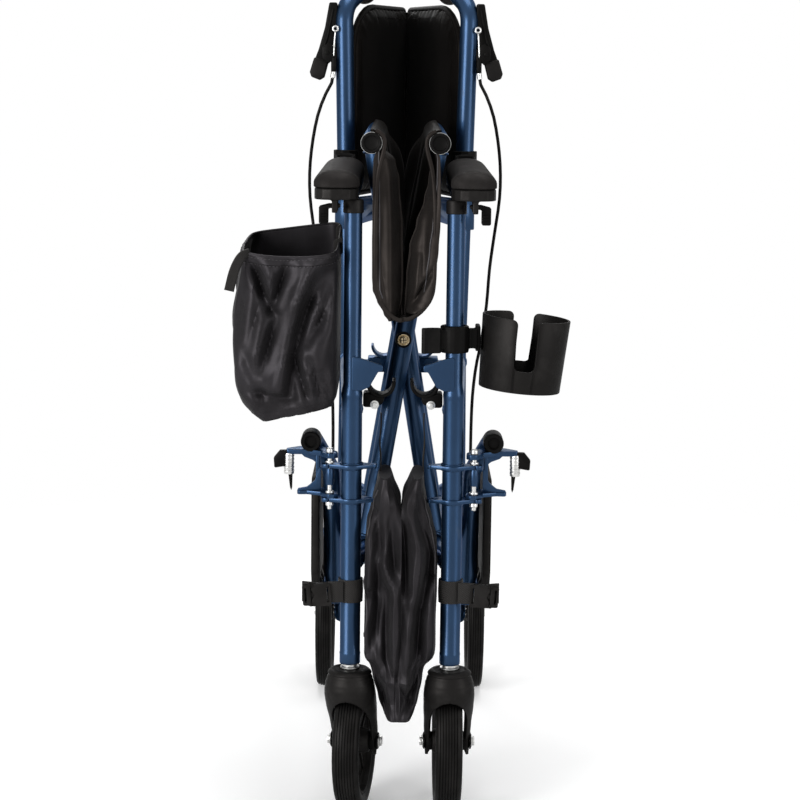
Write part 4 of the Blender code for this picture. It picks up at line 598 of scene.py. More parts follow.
class Form:
    """One piece's mesh as it is put together from simple shapes."""

    def __init__(self) -> None:
        """Start empty."""
        self.mesh = bmesh.new()

    def weld(self, part: bmesh.types.BMesh, place: Matrix | None = None, shut: bool = True) -> None:
        """Put a shape into the form.

        Args:
            part: The shape, which is freed.
            place: Where it goes.
            shut: Whether it is a closed shape, whose faces are turned outwards.
        """
        if place is not None:
            part.transform(place)
        bmesh.ops.remove_doubles(part, verts=part.verts, dist=1e-6)
        if shut:
            bmesh.ops.recalc_face_normals(part, faces=part.faces)
        store = bpy.data.meshes.new("store")
        part.to_mesh(store)
        part.free()
        self.mesh.from_mesh(store)
        bpy.data.meshes.remove(store)

    def tube(self, path: Sequence[Point], radius: float | Callable[[float], float], sides: int = 28,
             flat: float = 1.0, loop: bool = False) -> None:
        """A round bar or tube along a path.

        Args:
            path: The centre line.
            radius: The radius, or a function of the share of the path.
            sides: Sides of the section.
            flat: Height of the section over its width.
            loop: Whether the path is a closed ring.
        """
        points = [Vector(p) for p in path]
        last = len(points) - 1
        part = bmesh.new()
        ring = bmesh.ops.create_circle(part, segments=sides, radius=1.0)["verts"]
        first_edges = edges = list(part.edges)
        turn = before = Matrix.Identity(4)
        heading = Vector((0, 0, 1))
        for index, point in enumerate(points):
            ahead = points[(index + 1) % (last + 1)] if loop or index < last else point
            behind = points[index - 1] if loop or index else point
            now = (ahead - behind).normalized()
            turn = heading.rotation_difference(now).to_matrix().to_4x4() @ turn
            heading = now
            wide = radius(index / last) if callable(radius) else radius
            place = Matrix.Translation(point) @ turn @ Matrix.Diagonal((wide, wide * flat, wide, 1))
            if index:
                ring, edges = ends_of(bmesh.ops.extrude_edge_only(part, edges=edges)["geom"])
            bmesh.ops.transform(part, matrix=place @ before.inverted(), verts=ring)
            before = place
        if loop:
            bmesh.ops.bridge_loops(part, edges=first_edges + edges)
        else:
            bmesh.ops.holes_fill(part, edges=part.edges, sides=0)
        self.weld(part)

    def loft(self, rings: Sequence[Sequence[Point]]) -> None:
        """A closed skin over rings of matching points."""
        part = bmesh.new()
        ring = list(bmesh.ops.create_circle(part, segments=len(rings[0]), radius=1.0)["verts"])
        edges = list(part.edges)
        for level, places in enumerate(rings):
            if level:
                made, edges = ends_of(bmesh.ops.extrude_edge_only(part, edges=edges)["geom"])
                fresh = set(made)
                ring = [next(e.other_vert(v) for e in v.link_edges if e.other_vert(v) in fresh) for v in ring]
            for vert, place in zip(ring, places):
                vert.co = place
        bmesh.ops.holes_fill(part, edges=part.edges, sides=0)
        self.weld(part)

    def fuse(self, reach: float) -> None:
        """Join the sheets of the form where they meet."""
        bmesh.ops.remove_doubles(self.mesh, verts=self.mesh.verts, dist=reach)
        bmesh.ops.recalc_face_normals(self.mesh, faces=self.mesh.faces)

    def lathe(self, profile: Outline, place: Matrix | None = None, sides: int = 48) -> None:
        """A turned shape from its radius and height profile."""
        part = bmesh.new()
        verts = [part.verts.new((r, 0, z)) for r, z in profile]
        edges = [part.edges.new(pair) for pair in zip(verts, verts[1:])]
        bmesh.ops.spin(part, geom=verts + edges, cent=(0, 0, 0), axis=(0, 0, 1), angle=math.tau,
                       steps=sides, use_merge=True, use_duplicate=False)
        self.weld(part, place)

    def slab(self, outline: Outline, facing: Facing, low: float, high: float, edge: float = 0.0006,
             holes: Sequence[Outline] = (), segments: int = 2) -> None:
        """A flat outline with thickness, holes and rounded edges.

        Args:
            outline: The two other coordinates of its corners, in the order X, Y, Z.
            facing: The axis of its thickness.
            low: Where the thickness starts.
            high: Where it ends.
            edge: Width of the rounding.
            holes: Outlines of through holes.
            segments: Steps of the rounding.
        """
        part = bmesh.new()
        edges = []
        for loop in (outline, *holes):
            verts = [part.verts.new((u, v, low)) for u, v in loop]
            edges += [part.edges.new(pair) for pair in zip(verts, verts[1:] + verts[:1])]
        if holes:
            bmesh.ops.triangle_fill(part, use_beauty=True, use_dissolve=False, edges=edges)
        else:
            bmesh.ops.contextual_create(part, geom=edges)
        top, _ = ends_of(bmesh.ops.extrude_face_region(part, geom=list(part.faces))["geom"])
        bmesh.ops.translate(part, vec=(0, 0, high - low), verts=top)
        bmesh.ops.recalc_face_normals(part, faces=part.faces)
        soften(part, edge, segments)
        self.weld(part, facing.value)

    def rod(self, start: Point, end: Point, radius: float, tip: float | None = None, sides: int = 28,
            edge: float = 0.0004) -> None:
        """A cylinder or cone between two points, with softened rims."""
        begin, finish = Vector(start), Vector(end)
        part = bmesh.new()
        bmesh.ops.create_cone(part, cap_ends=True, segments=sides, radius1=radius,
                              radius2=radius if tip is None else tip, depth=(finish - begin).length)
        soften(part, edge, 2, 50)
        self.weld(part, Matrix.Translation((begin + finish) / 2) @ turned_to(finish - begin))

    def block(self, low: Point, high: Point, edge: float = 0.001, segments: int = 3) -> None:
        """A box between two corners with rounded edges."""
        a, b = Vector(low), Vector(high)
        size = Matrix.Diagonal((*(abs(n) for n in b - a), 1.0))
        part = bmesh.new()
        bmesh.ops.create_cube(part, size=1.0, matrix=Matrix.Translation((a + b) / 2) @ size)
        soften(part, edge, segments)
        self.weld(part)

    def bead(self, centre: Point, line: Point, radius: float, thick: float = 0.0013) -> None:
        """A weld bead round a tube, with the ripples of its puddles."""
        turn = Matrix.Translation(Vector(centre)) @ turned_to(Vector(line))
        ring = [turn @ Vector((x, y, 0)) for x, y in ring_of((0, 0), radius, 60)]
        self.tube(ring, lambda share: thick * (1 + 0.22 * abs(math.sin(share * 60))), 8, loop=True)

    def stitches(self, path: Sequence[Vector], pitch: float = 0.0034) -> None:
        """A row of sewn stitches along a path."""
        thick, filled = 0.00042, 0.36
        even = smooth_path(path, pitch)
        for a, b in zip(even, even[1:]):
            part = bmesh.new()
            bmesh.ops.create_icosphere(part, subdivisions=1, radius=thick)
            stretch = Matrix.Diagonal((1, 1, (b - a).length * filled / thick, 1))
            self.weld(part, Matrix.Translation((a + b) / 2) @ turned_to(b - a) @ stretch)

    def web(self, across: int, along: int, spot: Callable[[float, float], Vector]) -> float:
        """An open sheet of cloth.

        Args:
            across: Squares in the first direction.
            along: Squares in the second one.
            spot: The place of a point from its two shares, each 0 to 1.

        Returns:
            Its area in square metres.
        """
        part = bmesh.new()
        bmesh.ops.create_grid(part, x_segments=across, y_segments=along, size=0.5)
        for vert in part.verts:
            vert.co = spot(vert.co.x + 0.5, vert.co.y + 0.5)
        area = sum(face.calc_area() for face in part.faces)
        self.weld(part, shut=False)
        return area

    def turn(self, place: Matrix) -> None:
        """Move all that is in the form."""
        self.mesh.transform(place)

    def finish(self, name: str, look: Look, side: Side = Side.RIGHT) -> bpy.types.Object:
        """Make the form an object, mirrored for the left side.

        Args:
            name: The piece's name.
            look: Its finish.
            side: The side that it is for.

        Returns:
            The object, with its place in its mesh.
        """
        self.mesh.transform(Matrix.Diagonal((side.value, 1, 1, 1)))
        if side is Side.LEFT:
            bmesh.ops.reverse_faces(self.mesh, faces=self.mesh.faces)
        self.mesh.transform(Matrix.Translation(SHIFT))
        data = bpy.data.meshes.new(name)
        self.mesh.to_mesh(data)
        self.mesh.free()
        data.shade_smooth()
        data.set_sharp_from_angle(angle=math.radians(38))
        return show(name, data, look.material)


def settle(made: bpy.types.Object) -> None:
    """Apply a piece's modifiers to its mesh."""
    graph = bpy.context.evaluated_depsgraph_get()
    graph.update()
    fresh = bpy.data.meshes.new_from_object(made.evaluated_get(graph))
    old = made.data
    made.modifiers.clear()
    made.data = fresh
    fresh.name = made.name
    bpy.data.meshes.remove(old)


def thicken(made: bpy.types.Object, wall: float, offset: float = 0.0) -> bpy.types.Object:
    """Give a sheet its thickness, half on each side or all on one."""
    thick = made.modifiers.new("thick", "SOLIDIFY")
    thick.thickness, thick.offset = wall, offset
    return made


def subdivide(made: bpy.types.Object) -> None:
    """Smooth a piece with one subdivision."""
    smooth = made.modifiers.new("smooth", "SUBSURF")
    smooth.levels = smooth.render_levels = 1


def remesh(made: bpy.types.Object, voxel: float) -> None:
    """Draw a closed piece again with even squares of a size."""
    even = made.modifiers.new("even", "REMESH")
    even.mode, even.voxel_size = "VOXEL", voxel
    settle(made)


def inflate(made: bpy.types.Object, voxel: float, pressure: float, cap: float) -> None:
    """Swell a closed pad with the cloth solver, then smooth it.

    Args:
        made: The pad, a little smaller than it ends.
        voxel: Size of the remeshed squares.
        pressure: Of the filling.
        cap: The farthest that a point may move.
    """
    remesh(made, voxel)
    start = [v.co.copy() for v in made.data.vertices]
    cloth = made.modifiers.new("cloth", "CLOTH")
    cloth.settings.quality = 5
    cloth.settings.use_pressure = True
    cloth.settings.uniform_pressure_force = pressure
    cloth.settings.effector_weights.gravity = 0.0
    cloth.point_cache.frame_start, cloth.point_cache.frame_end = 1, 20
    for step in range(1, 21):
        bpy.context.scene.frame_set(step)
    settle(made)
    bpy.context.scene.frame_set(1)
    for vert, place in zip(made.data.vertices, start):
        move = vert.co - place
        if move.length > cap:
            vert.co = place + move * (cap / move.length)
    subdivide(made)
    settle(made)
    made.data.shade_smooth()


def moulded(node: str, look: Look, voxel: float, passes: int = 4) -> bpy.types.Object:
    """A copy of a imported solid, remeshed and eased like a moulded or cast piece.

    Args:
        node: The solid's name.
        look: Its finish.
        voxel: Size of the remeshed squares.
        passes: How often its points are eased.

    Returns:
        The piece, which stands for the solid.
    """
    solid = frame["nodes"][node]
    data = solid.data.copy()
    copy = bmesh.new()
    copy.from_mesh(data)
    bmesh.ops.remove_doubles(copy, verts=copy.verts, dist=1e-6)
    copy.to_mesh(data)
    copy.free()
    made = show(node + "_moulded", data, look.material)
    remesh(made, voxel)
    eased = bmesh.new()
    eased.from_mesh(made.data)
    for _ in range(passes):
        bmesh.ops.smooth_vert(eased, verts=eased.verts, factor=0.5, use_axis_x=True, use_axis_y=True,
                              use_axis_z=True)
    eased.to_mesh(made.data)
    eased.free()
    made.data.materials.clear()
    made.data.materials.append(look.material)
    made.data.shade_smooth()
    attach(made, solid["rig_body"])
    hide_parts(node)
    return made


@dataclass
class Assembly:
    """What every sub-assembly shares: its side, and how its forms join their bodies."""

    side: Side = field(default=Side.RIGHT, kw_only=True)
    body = "{}_frame"

    def hang(self, made: bpy.types.Object, look: Look, *nodes: str, body: str = "") -> bpy.types.Object:
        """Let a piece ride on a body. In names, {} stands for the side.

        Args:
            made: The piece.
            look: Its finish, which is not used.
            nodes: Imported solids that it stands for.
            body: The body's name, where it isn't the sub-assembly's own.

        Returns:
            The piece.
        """
        word = self.side.word
        carrier = (body or self.body).format(word)
        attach(made, carrier)
        look.slot
        if nodes:
            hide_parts(*(node.format(word) for node in nodes))
        LOG.info("%s on %s", made.name, carrier)
        return made

    def add(self, form: Form, name: str, look: Look, *nodes: str, body: str = "",
            wall: float = 0.0) -> bpy.types.Object:
        """Finish a form and let it ride on a body. In names, {} stands for the side.

        Args:
            form: The form.
            name: The piece's name.
            look: Its finish.
            nodes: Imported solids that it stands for.
            body: The body's name, where it isn't the sub-assembly's own.
            wall: Thickness, where the form is a sheet.

        Returns:
            The piece.
        """
        made = form.finish(name.format(self.side.word), look, self.side)
        if wall:
            thicken(made, wall)
        return self.hang(made, look, *nodes, body=body)


def upright_x(z: float) -> float:
    """X of the rear upright at a height."""
    return 0.068 + 0.009 * (z - 0.47) / 0.42


def rear_leg(z: float) -> tuple[float, float]:
    """X and Y of the rear leg at a height."""
    share = (0.47 - z) / 0.38
    return 0.068 + 0.0075 * share, UPRIGHT_Y + 0.128 * share


def cable_stop() -> tuple[float, float]:
    """X and Y of the bracket that the brake cable ends in."""
    x, y = rear_leg(CABLE_STOP_Z)
    return x + 0.0165, y - 0.02


@dataclass
class SideFrame(Assembly):
    """Welded tube frame of one side, with the plates and stops on it."""

    post_r: float = 0.0095
    post_top: float = 0.6815
    cap_h: float = 0.015
    upper_z: float = 0.455

    def ring_plate(self, form: Form, low: float, *welds: float) -> None:
        """A plate round the leg with an ear on either side, and weld rings at heights from its foot."""
        x = LEG_X
        outer = rounded([(PIN_X + 0.001, -0.0085), (PIN_X + 0.0087, -0.005), (PIN_X + 0.0087, 0.005),
                         (PIN_X + 0.001, 0.0085)], 0.004)
        inner = rounded([(x - 0.0236, 0.0067), (x - 0.0272, 0.004), (x - 0.0272, -0.004),
                         (x - 0.0236, -0.0067)], 0.003)
        back, front = (arc((x, 0), 0.0145, start, start + 80, 10) for start in (50, 230))
        form.slab(outer + back + inner + front, Facing.Z, low, low + 0.004, 0.0009,
                  holes=[ring_of((PIN_X, 0), 0.0034), ring_of((x - 0.0225, 0), 0.0024)])
        for weld in welds:
            form.bead((x, 0, low + weld), (0, 0, 1), TUBE_R + 0.0004, 0.0012)

    def build(self) -> None:
        """Make the frame and the small parts on it."""
        form = Form()
        x, r, foot_z, upper_z = LEG_X, TUBE_R, FOOT_Z, self.upper_z
        top, cap_low = self.post_top, self.post_top - self.cap_h
        form.lathe([
            (0, cap_low), (self.post_r, cap_low), (self.post_r, 0.485), (0.01, 0.4815), (0.0109, 0.477),
            (0.0114, 0.4735), (0.0115, 0.4715), (0.0112, 0.469), (r, 0.467), (r, 0.189), (0.0114, 0.1882),
            (0.0115, 0.1868), (0.0113, 0.1855), (0.0113, 0.1768), (0.0108, 0.1757), (0.0045, 0.1755),
            (0.0045, 0.207), (0, 0.207)], at(x))
        form.tube(bent([(0.0755, AXLE_Y, 0.09), (0.068, UPRIGHT_Y, 0.47), (0.077, UPRIGHT_Y, 0.89),
                        (0.0555, 0.446, 0.915), (0.0555, 0.572, 0.915)], 0.03), r)
        upper_end = (upright_x(upper_z + 0.02), UPRIGHT_Y + 0.004, upper_z)
        form.tube([(x, 0, upper_z), upper_end], 0.0107)
        line = Vector(upper_end) - Vector((x, 0, upper_z))
        form.bead((x + 0.0004, 0.0114, upper_z), line, 0.0109, 0.0014)
        form.bead((upper_end[0] - 0.0003, 0.3905, upper_z), line, 0.0109, 0.0014)
        end_x, end_y = rear_leg(foot_z)
        lower = bent([(x, 0, foot_z), (FOOT_X, 0.046, foot_z), (FOOT_X, 0.36, foot_z),
                      (end_x, end_y, foot_z)], 0.03)
        form.tube(lower, 0.0095)
        line = lower[1] - lower[0]
        form.bead(Vector((x, 0, foot_z)) + line.normalized() * 0.0112, line, 0.0097)
        line = lower[-1] - lower[-2]
        form.bead(lower[-1] - line.normalized() * 0.0112, line, 0.0097)
        self.ring_plate(form, 0.3555, -0.0006)
        self.ring_plate(form, 0.3925, -0.0006, 0.0046)
        stop = rounded([(x, 0.478), (x, 0.515), (x - 0.009, 0.513), (0.0217, 0.505), (0.0217, 0.499),
                        (0.0267, 0.498), (0.0357, 0.482), (0.0437, 0.478)], 0.0022)
        form.slab(stop, Facing.Y, -0.0117, -0.0083, 0.0007)
        self.rear_saddle(form)
        self.brake_bracket(form)
        form.rod((0.0755, AXLE_Y, AXLE_Z), (0.0873, AXLE_Y, AXLE_Z), 0.009)
        self.add(form, "frame_tubes_{}", Look.PAINT, "side_frame_{}")
        cap = Form()
        cap.lathe([(0, top), (0.0085, top), (0.0103, top - 0.0008), (0.011, top - 0.0026),
                   (0.011, cap_low + 0.0008), (0.0104, cap_low + 0.0001), (0, cap_low + 0.0001)], at(x))
        self.add(cap, "post_cap_{}", Look.CHARCOAL)
        nut = Form()
        for start, end, size, sides, edge in ((0.0873, 0.1117, 0.004, 20, 0.0004),
                                              (0.1098, 0.1108, 0.0088, 32, 0.0002),
                                              (0.1108, 0.114, 0.007, 6, 0.0007)):
            nut.rod((start, AXLE_Y, AXLE_Z), (end, AXLE_Y, AXLE_Z), size, sides=sides, edge=edge)
        self.add(nut, "rear_axle_nut_{}", Look.ZINC)

    def rear_saddle(self, form: Form) -> None:
        """A U that a seat rail drops into, and its foot on the upper tube."""
        front, back, foot_low = 0.345, 0.372, 0.4475
        centre, edge_x = (SADDLE_X, SADDLE_Z), LEG_X - TUBE_R
        form.slab(arc(centre, 0.0155, 0, -180, 24) + arc(centre, 0.0125, -180, 0, 24), Facing.Y, front, back,
                  0.0008)
        form.block((SADDLE_X - 0.004, front, foot_low), (edge_x - 0.0003, back, foot_low + 0.018), 0.0015)
        form.block((edge_x - 0.003, 0.347, 0.4495), (LEG_X + 0.006, 0.37, 0.4605), 0.002)

    def brake_bracket(self, form: Form) -> None:
        """Web and pin for the shoe, and the stop that the cable ends in."""
        pin_y, z = 0.47, 0.22
        x, y = rear_leg(z)
        web = rounded([(y - 0.004, z - 0.016), (y - 0.004, z + 0.02), (pin_y - 0.004, z + 0.008),
                       (pin_y - 0.008, z - 0.002), (pin_y - 0.002, z - 0.008)], 0.003)
        form.slab(web, Facing.X, x + 0.002, 0.0922, 0.0008)
        form.rod((0.0895, pin_y, z), (0.0983, pin_y, z), 0.0032)
        form.rod((0.0978, pin_y, z), (0.1008, pin_y, z), 0.0055, edge=0.0008)
        x, y = cable_stop()
        form.rod((x, y + 0.0045, 0.248), (x, y, CABLE_STOP_Z - 0.0003), 0.0045, edge=0.0008)
        leg_x, leg_y = rear_leg(0.254)
        form.slab([(leg_x, leg_y - 0.005), (leg_x, leg_y + 0.005), (x, y + 0.006), (x, y + 0.001)],
                  Facing.Z, 0.2505, 0.2565, 0.0006)


@dataclass
class CrossBrace(Assembly):
    """One of the two folding braces, whose four arms make the double X, with its rail."""

    letter: str
    foot_side: Side
    pitch: float
    upper: float = 0.221
    rail_front: float = -0.0045
    rail_back: float = 0.405

    def build(self) -> None:
        """Make the brace, its rail's bright end and its plug."""
        name, body = "cross_brace_" + self.letter, "brace_" + self.letter
        front, rear = ARM_FRONT_Y + self.pitch, ARM_REAR_Y - self.pitch
        length = BRACE_LOWER + self.upper
        way = self.foot_side.value
        place = at(way * FOOT_X, 0, FOOT_Z, "Y", -way * BRACE_TILT)
        form = Form()
        form.lathe(sleeve(0.0103, 0.013, front - 0.015, rear + 0.015, 0.0006, 0.0005), at(0, 0, 0, "X", -90))
        for y in (front, rear):
            form.tube([(0, y, 0.0104), (0, y, length)], TUBE_R)
            for z in (0.0128, length - 0.0128):
                form.bead((0, y, z), (0, 0, 1), TUBE_R + 0.0004, 0.0015)
        rail = at(0, 0, length, "X", -90)
        start, end = self.rail_front, self.rail_back
        form.lathe([(0, start + 0.014), (0.0088, start + 0.014), (0.0088, start + 0.0002), (0.0092, start),
                    (0.0107, start), (0.0111, start + 0.0005), (0.0111, end - 0.0005), (0.0106, end),
                    (0, end)], rail)
        ring, plug = Form(), Form()
        ring.lathe([(0.0109, start + 0.0002), (0.0115, start + 0.0002), (0.0115, start + 0.0026),
                    (0.0112, start + 0.0026), (0.0112, start + 0.0006), (0.0109, start + 0.0002)], rail)
        face = start - 0.0003
        plug.lathe([(0, face - 0.0009), (0.0066, face - 0.0009), (0.0072, face - 0.0012),
                    (0.0078, face - 0.0026), (0.0086, face - 0.003), (0.0101, face - 0.003),
                    (0.0109, face - 0.0024), (0.0111, face - 0.0014), (0.0111, face), (0.0081, face),
                    (0.0081, face + 0.011), (0, face + 0.011)], rail)
        for part in (form, ring, plug):
            part.turn(place)
        self.add(form, name + "_tubes", Look.PAINT, name, body=body)
        self.add(ring, name + "_rail_rim", Look.ZINC, body=body)
        rail_side = "right" if self.foot_side is Side.LEFT else "left"
        self.add(plug, "rail_end_" + rail_side, Look.BLACK, "rail_plug_" + rail_side, body=body)


@dataclass
class PivotBolt(Assembly):
    """Yellow bolt through two crossing arms."""

    node: str
    outer_y: float
    way: int
    body = "brace_a"

    def build(self) -> None:
        """Make the bolt with its domed, slotted head and lock nut; the black washer and cross are painted
        shade.
        """
        z, way, y = FOOT_Z + BRACE_LOWER * math.cos(math.radians(BRACE_TILT)), self.way, self.outer_y
        reach = 0.0114
        grip = ARM_GAP + reach
        turn = at(0, y - way * reach, z, "X", 90 * way)
        form, dark = Form(), Form()
        form.rod((0, y - way * (reach + 0.001), z), (0, y + way * (grip + 0.007), z), 0.003, sides=20)
        form.lathe([(0, 0.0012), (0.0058, 0.0012), (0.0064, 0.0016), (0.0066, 0.0024), (0.0062, 0.0029),
                    (0.0054, 0.0026), (0.005, 0.0023), (0.0046, 0.0029), (0.0036, 0.004), (0.0024, 0.0046),
                    (0, 0.0048)], turn, 40)
        form.rod((0, y + way * grip, z), (0, y + way * (grip + 0.005), z), 0.0055, sides=6, edge=0.0007)
        form.rod((0, y + way * (grip + 0.0046), z), (0, y + way * (grip + 0.0058), z), 0.0044, sides=24)
        self.add(form, self.node + "_set", Look.BRASS, self.node)
        # A washer under the head, made black as painted shade of the recess round the head.
        dark.lathe([(0.003, 0.0001), (0.0088, 0.0001), (0.009, 0.0004), (0.0088, 0.0012), (0.003, 0.0014),
                    (0.003, 0.0001)], turn, 40)
        # Black blocks in a cross on the dome: painted shade of the head's slot.
        for u, v in ((0.0026, 0.0004), (0.0004, 0.0026)):
            slot_shade = Form()
            slot_shade.block((-u, -v, 0.004), (u, v, 0.005), 0.0002)
            dark.weld(slot_shade.mesh, turn)
        self.add(dark, self.node + "_washer", Look.BLACK)


@dataclass
class FrontSaddle(Assembly):
    """Black clip that a seat rail rests in, bolted to the upper tube."""

    def build(self) -> None:
        """Make the saddle and its bright bolt."""
        x, z = SADDLE_X, SADDLE_Z
        form, bolt = Form(), Form()
        centre = (x, z + 0.001)
        clip = arc(centre, 0.016, 12, -192, 26) + arc(centre, 0.0122, -192, 12, 26)
        form.slab(clip, Facing.Y, 0.0195, 0.047, 0.0012, segments=3)
        web = rounded([(x - 0.005, z - 0.0145), (0.0431, z - 0.009), (0.0431, z - 0.0255),
                       (x + 0.01, z - 0.0255), (x - 0.001, z - 0.0225)], 0.003, 4)
        form.slab(web, Facing.Y, 0.0205, 0.046, 0.0014, segments=3)
        self.add(form, "seat_saddle_front_{}_clip", Look.BLACK, "seat_saddle_front_{}")
        bolt.rod((0.0305, 0.0166, 0.458), (0.0305, 0.0206, 0.458), 0.0034, sides=6, edge=0.0006)
        bolt.rod((0.0305, 0.0194, 0.458), (0.0305, 0.0207, 0.458), 0.0048, edge=0.0003)
        self.add(bolt, "saddle_bolt_{}", Look.ZINC)


@dataclass
class Wheel(Assembly):
    """A tyre on a five-spoked rim."""

    end: str
    radius: float
    width: float
    rim_r: float
    hub_r: float
    hub_half: float
    place: Matrix
    grooves: int

    def tread(self) -> Outline:
        """Radius and offset of the tyre's outside, with its grooves."""
        half, r, crown = self.width / 2, self.radius, 0.0016
        flank = [(self.rim_r + 0.0002, -half * 0.8), (self.rim_r + 0.003, -half * 0.93),
                 (r - 0.0085, -half), (r - 0.0045, -half * 0.94), (r - crown, -half * 0.76)]
        cuts = []
        pitch = 1.46 * half / self.grooves
        for index in range(self.grooves):
            for share, cut in ((0.1, 0.0), (0.22, 0.0011), (0.38, 0.0011), (0.5, 0.0)):
                y = -half * 0.73 + pitch * index + pitch * share
                cuts.append((r - crown * (abs(y) / (half * 0.76)) ** 2 - cut, y))
        return [*flank, *cuts, *((radius, -y) for radius, y in reversed(flank)), flank[0]]

    def build(self) -> None:
        """Make the tyre and the rim."""
        body = self.end + "_wheel_{}"
        tyre, rim = Form(), Form()
        tyre.lathe(self.tread(), self.place, 96)
        self.add(tyre, self.end + "_tread_{}", Look.RUBBER, self.end + "_tyre_{}", body=body)
        lip, edge, hub, hub_r = self.rim_r - 0.0003, self.width * 0.4, self.hub_half, self.hub_r
        rim.lathe(mirrored([(lip, -edge), (lip - 0.0012, -edge - 0.0006), (lip - 0.0032, -edge),
                            (lip - 0.0044, -0.006), (lip - 0.0075, -0.0042), (lip - 0.0085, 0)]),
                  self.place, 72)
        rim.lathe(mirrored([(0.0044, hub), (hub_r * 0.72, hub), (hub_r * 0.8, hub - 0.0008),
                            (hub_r * 0.92, 0.006), (hub_r, 0.003)]), self.place, 48)
        for index in range(5):
            spoke = Form()
            spoke.slab(rounded([(hub_r - 0.001, -0.0085), (lip - 0.004, -0.013), (lip - 0.004, 0.013),
                                (hub_r - 0.001, 0.0085)], 0.002), Facing.Z, -0.003, 0.003, 0.0009)
            spoke.slab([(hub_r - 0.002, -0.0014), (lip - 0.003, -0.0014), (lip - 0.003, 0.0014),
                        (hub_r - 0.002, 0.0014)], Facing.Z, -0.0052, 0.0052, 0.0006)
            rim.weld(spoke.mesh, self.place @ at(axis="Z", degrees=72 * (index + 0.5)))
        self.add(rim, self.end + "_spokes_{}", Look.GREY, self.end + "_rim_{}", body=body)


@dataclass
class Caster(Assembly):
    """Front fork with its stem and axle bolt."""

    turn: float
    body = "caster_{}"
    trail: float = 0.04
    wheel_r: float = 0.076
    top: float = 0.1705
    bell = [
        (0.06, 0.0244), (0.076, 0.0256), (0.1, 0.0264), (0.125, 0.0276), (0.1405, 0.028), (0.146, 0.0277),
        (0.154, 0.0266), (0.16, 0.0251), (0.163, 0.0236), (0.1642, 0.0233), (0.1652, 0.0241),
        (0.1664, 0.0239), (0.1676, 0.0226), (0.169, 0.021), (0.17, 0.0186), (0.1705, 0.012)]

    def shell(self, way: int) -> Callable[[float, float], Vector]:
        """The bell and leg of one side of the fork.

        Args:
            way: The sign of the side along X.

        Returns:
            The place of a point from its shares round the side and down it.
        """

        def spot(u: float, v: float) -> Vector:
            """A point of the side."""
            z = self.top - (self.top - 0.0605) * v
            r = between(self.bell, z)[0]
            reach = []
            for arch_top in (0.1375, 0.159):
                rise = hold((z - 0.094) / (arch_top - 0.094))
                gap = 0.0212 * max(0.0, 1 - rise ** 3) ** 0.55 if z < arch_top else 0.0
                reach.append(math.acos(min(1.0, gap / r)))
            turn = -reach[0] + (reach[0] + reach[1]) * u
            trail = self.trail * step_up(0.152 - z, 0, 0.152 - self.wheel_r)
            narrow = 1 - 0.34 * step_up(0.14 - z, 0, 0.064)
            if z < self.wheel_r:
                narrow *= math.sqrt(max(0.02, 1 - ((self.wheel_r - z) / 0.016) ** 2))
            return Vector((way * r * math.cos(turn), r * math.sin(turn) * narrow + trail, z))

        return spot

    def build(self) -> None:
        """Make the fork, the stem, the axle and the wheel."""
        top, y, z = self.top, self.trail, self.wheel_r
        swivel = at(LEG_X, degrees=-self.turn)
        fork, core, bright = Form(), Form(), Form()
        for way in (-1, 1):
            fork.web(30, 90, self.shell(way))
        fork.fuse(0.00002)
        core.lathe([(0.0045, top - 0.0002), (0.0125, top - 0.0002), (0.0125, top - 0.0032),
                    (0.0215, top - 0.005), (0.0225, top - 0.0135), (0.0045, top - 0.0135),
                    (0.0045, top - 0.0002)])
        bright.rod((0, 0, top + 0.0001), (0, 0, 0.205), 0.004, sides=20)
        bright.lathe([(0.0041, top), (0.01, top), (0.0104, top + 0.0004), (0.0104, top + 0.0018),
                      (0.0082, top + 0.0024), (0.0082, top + 0.0048), (0.0041, top + 0.0048),
                      (0.0041, top)])
        bright.rod((-0.029, y, z), (0.029, y, z), 0.0039, sides=20)
        for way in (-1, 1):
            core.rod((way * 0.0168, y, z), (way * 0.0232, y, z), 0.0105, edge=0.0008)
            core.rod((way * 0.0252, y, z), (way * 0.0268, y, z), 0.0098, 0.0088, edge=0.0005)
            bright.rod((way * 0.0268, y, z), (way * 0.0276, y, z), 0.0074, sides=32, edge=0.0002)
            bright.rod((way * 0.0276, y, z), (way * 0.0308, y, z), 0.0058, sides=6, edge=0.0007)
        for part in (fork, core, bright):
            part.turn(swivel)
        bell = self.add(fork, "fork_{}", Look.CHARCOAL, "caster_fork_{}", wall=0.0034)
        bell.modifiers["thick"].offset = -1.0
        self.add(core, "fork_core_{}", Look.BLACK)
        self.add(bright, "caster_bolt_{}", Look.ZINC)
        wheel_place = swivel @ at(0, y, z, "Y", 90)
        Wheel("front", z, 0.0295, 0.06, 0.016, 0.0167, wheel_place, 7, side=self.side).build()


@dataclass
class HandGrip(Assembly):
    """Moulded grip with finger ridges and a flared end."""

    radius: float = 0.016
    length: float = 0.11

    def build(self) -> None:
        """Make the grip."""
        length, r = self.length, self.radius
        profile = [(0, length + 0.004), (r - 0.006, length + 0.004), (r - 0.002, length + 0.003),
                   (r + 0.0005, length)]
        for index in range(6):
            start = length * (0.9 - 0.115 * index)
            profile += [(r, start), (r - 0.0012, start - length * 0.028),
                        (r - 0.0012, start - length * 0.05), (r, start - length * 0.078)]
        profile += [(r, length * 0.1), (r + 0.0018, length * 0.04), (r + 0.002, length * 0.012),
                    (r + 0.0012, 0), (0.0116, 0), (0.0116, length), (0, length)]
        form = Form()
        form.lathe(profile, at(0.0555, GRIP_Y, 0.915, "X", -90))
        self.add(form, "hand_grip_{}_moulding", Look.FOAM, "hand_grip_{}")


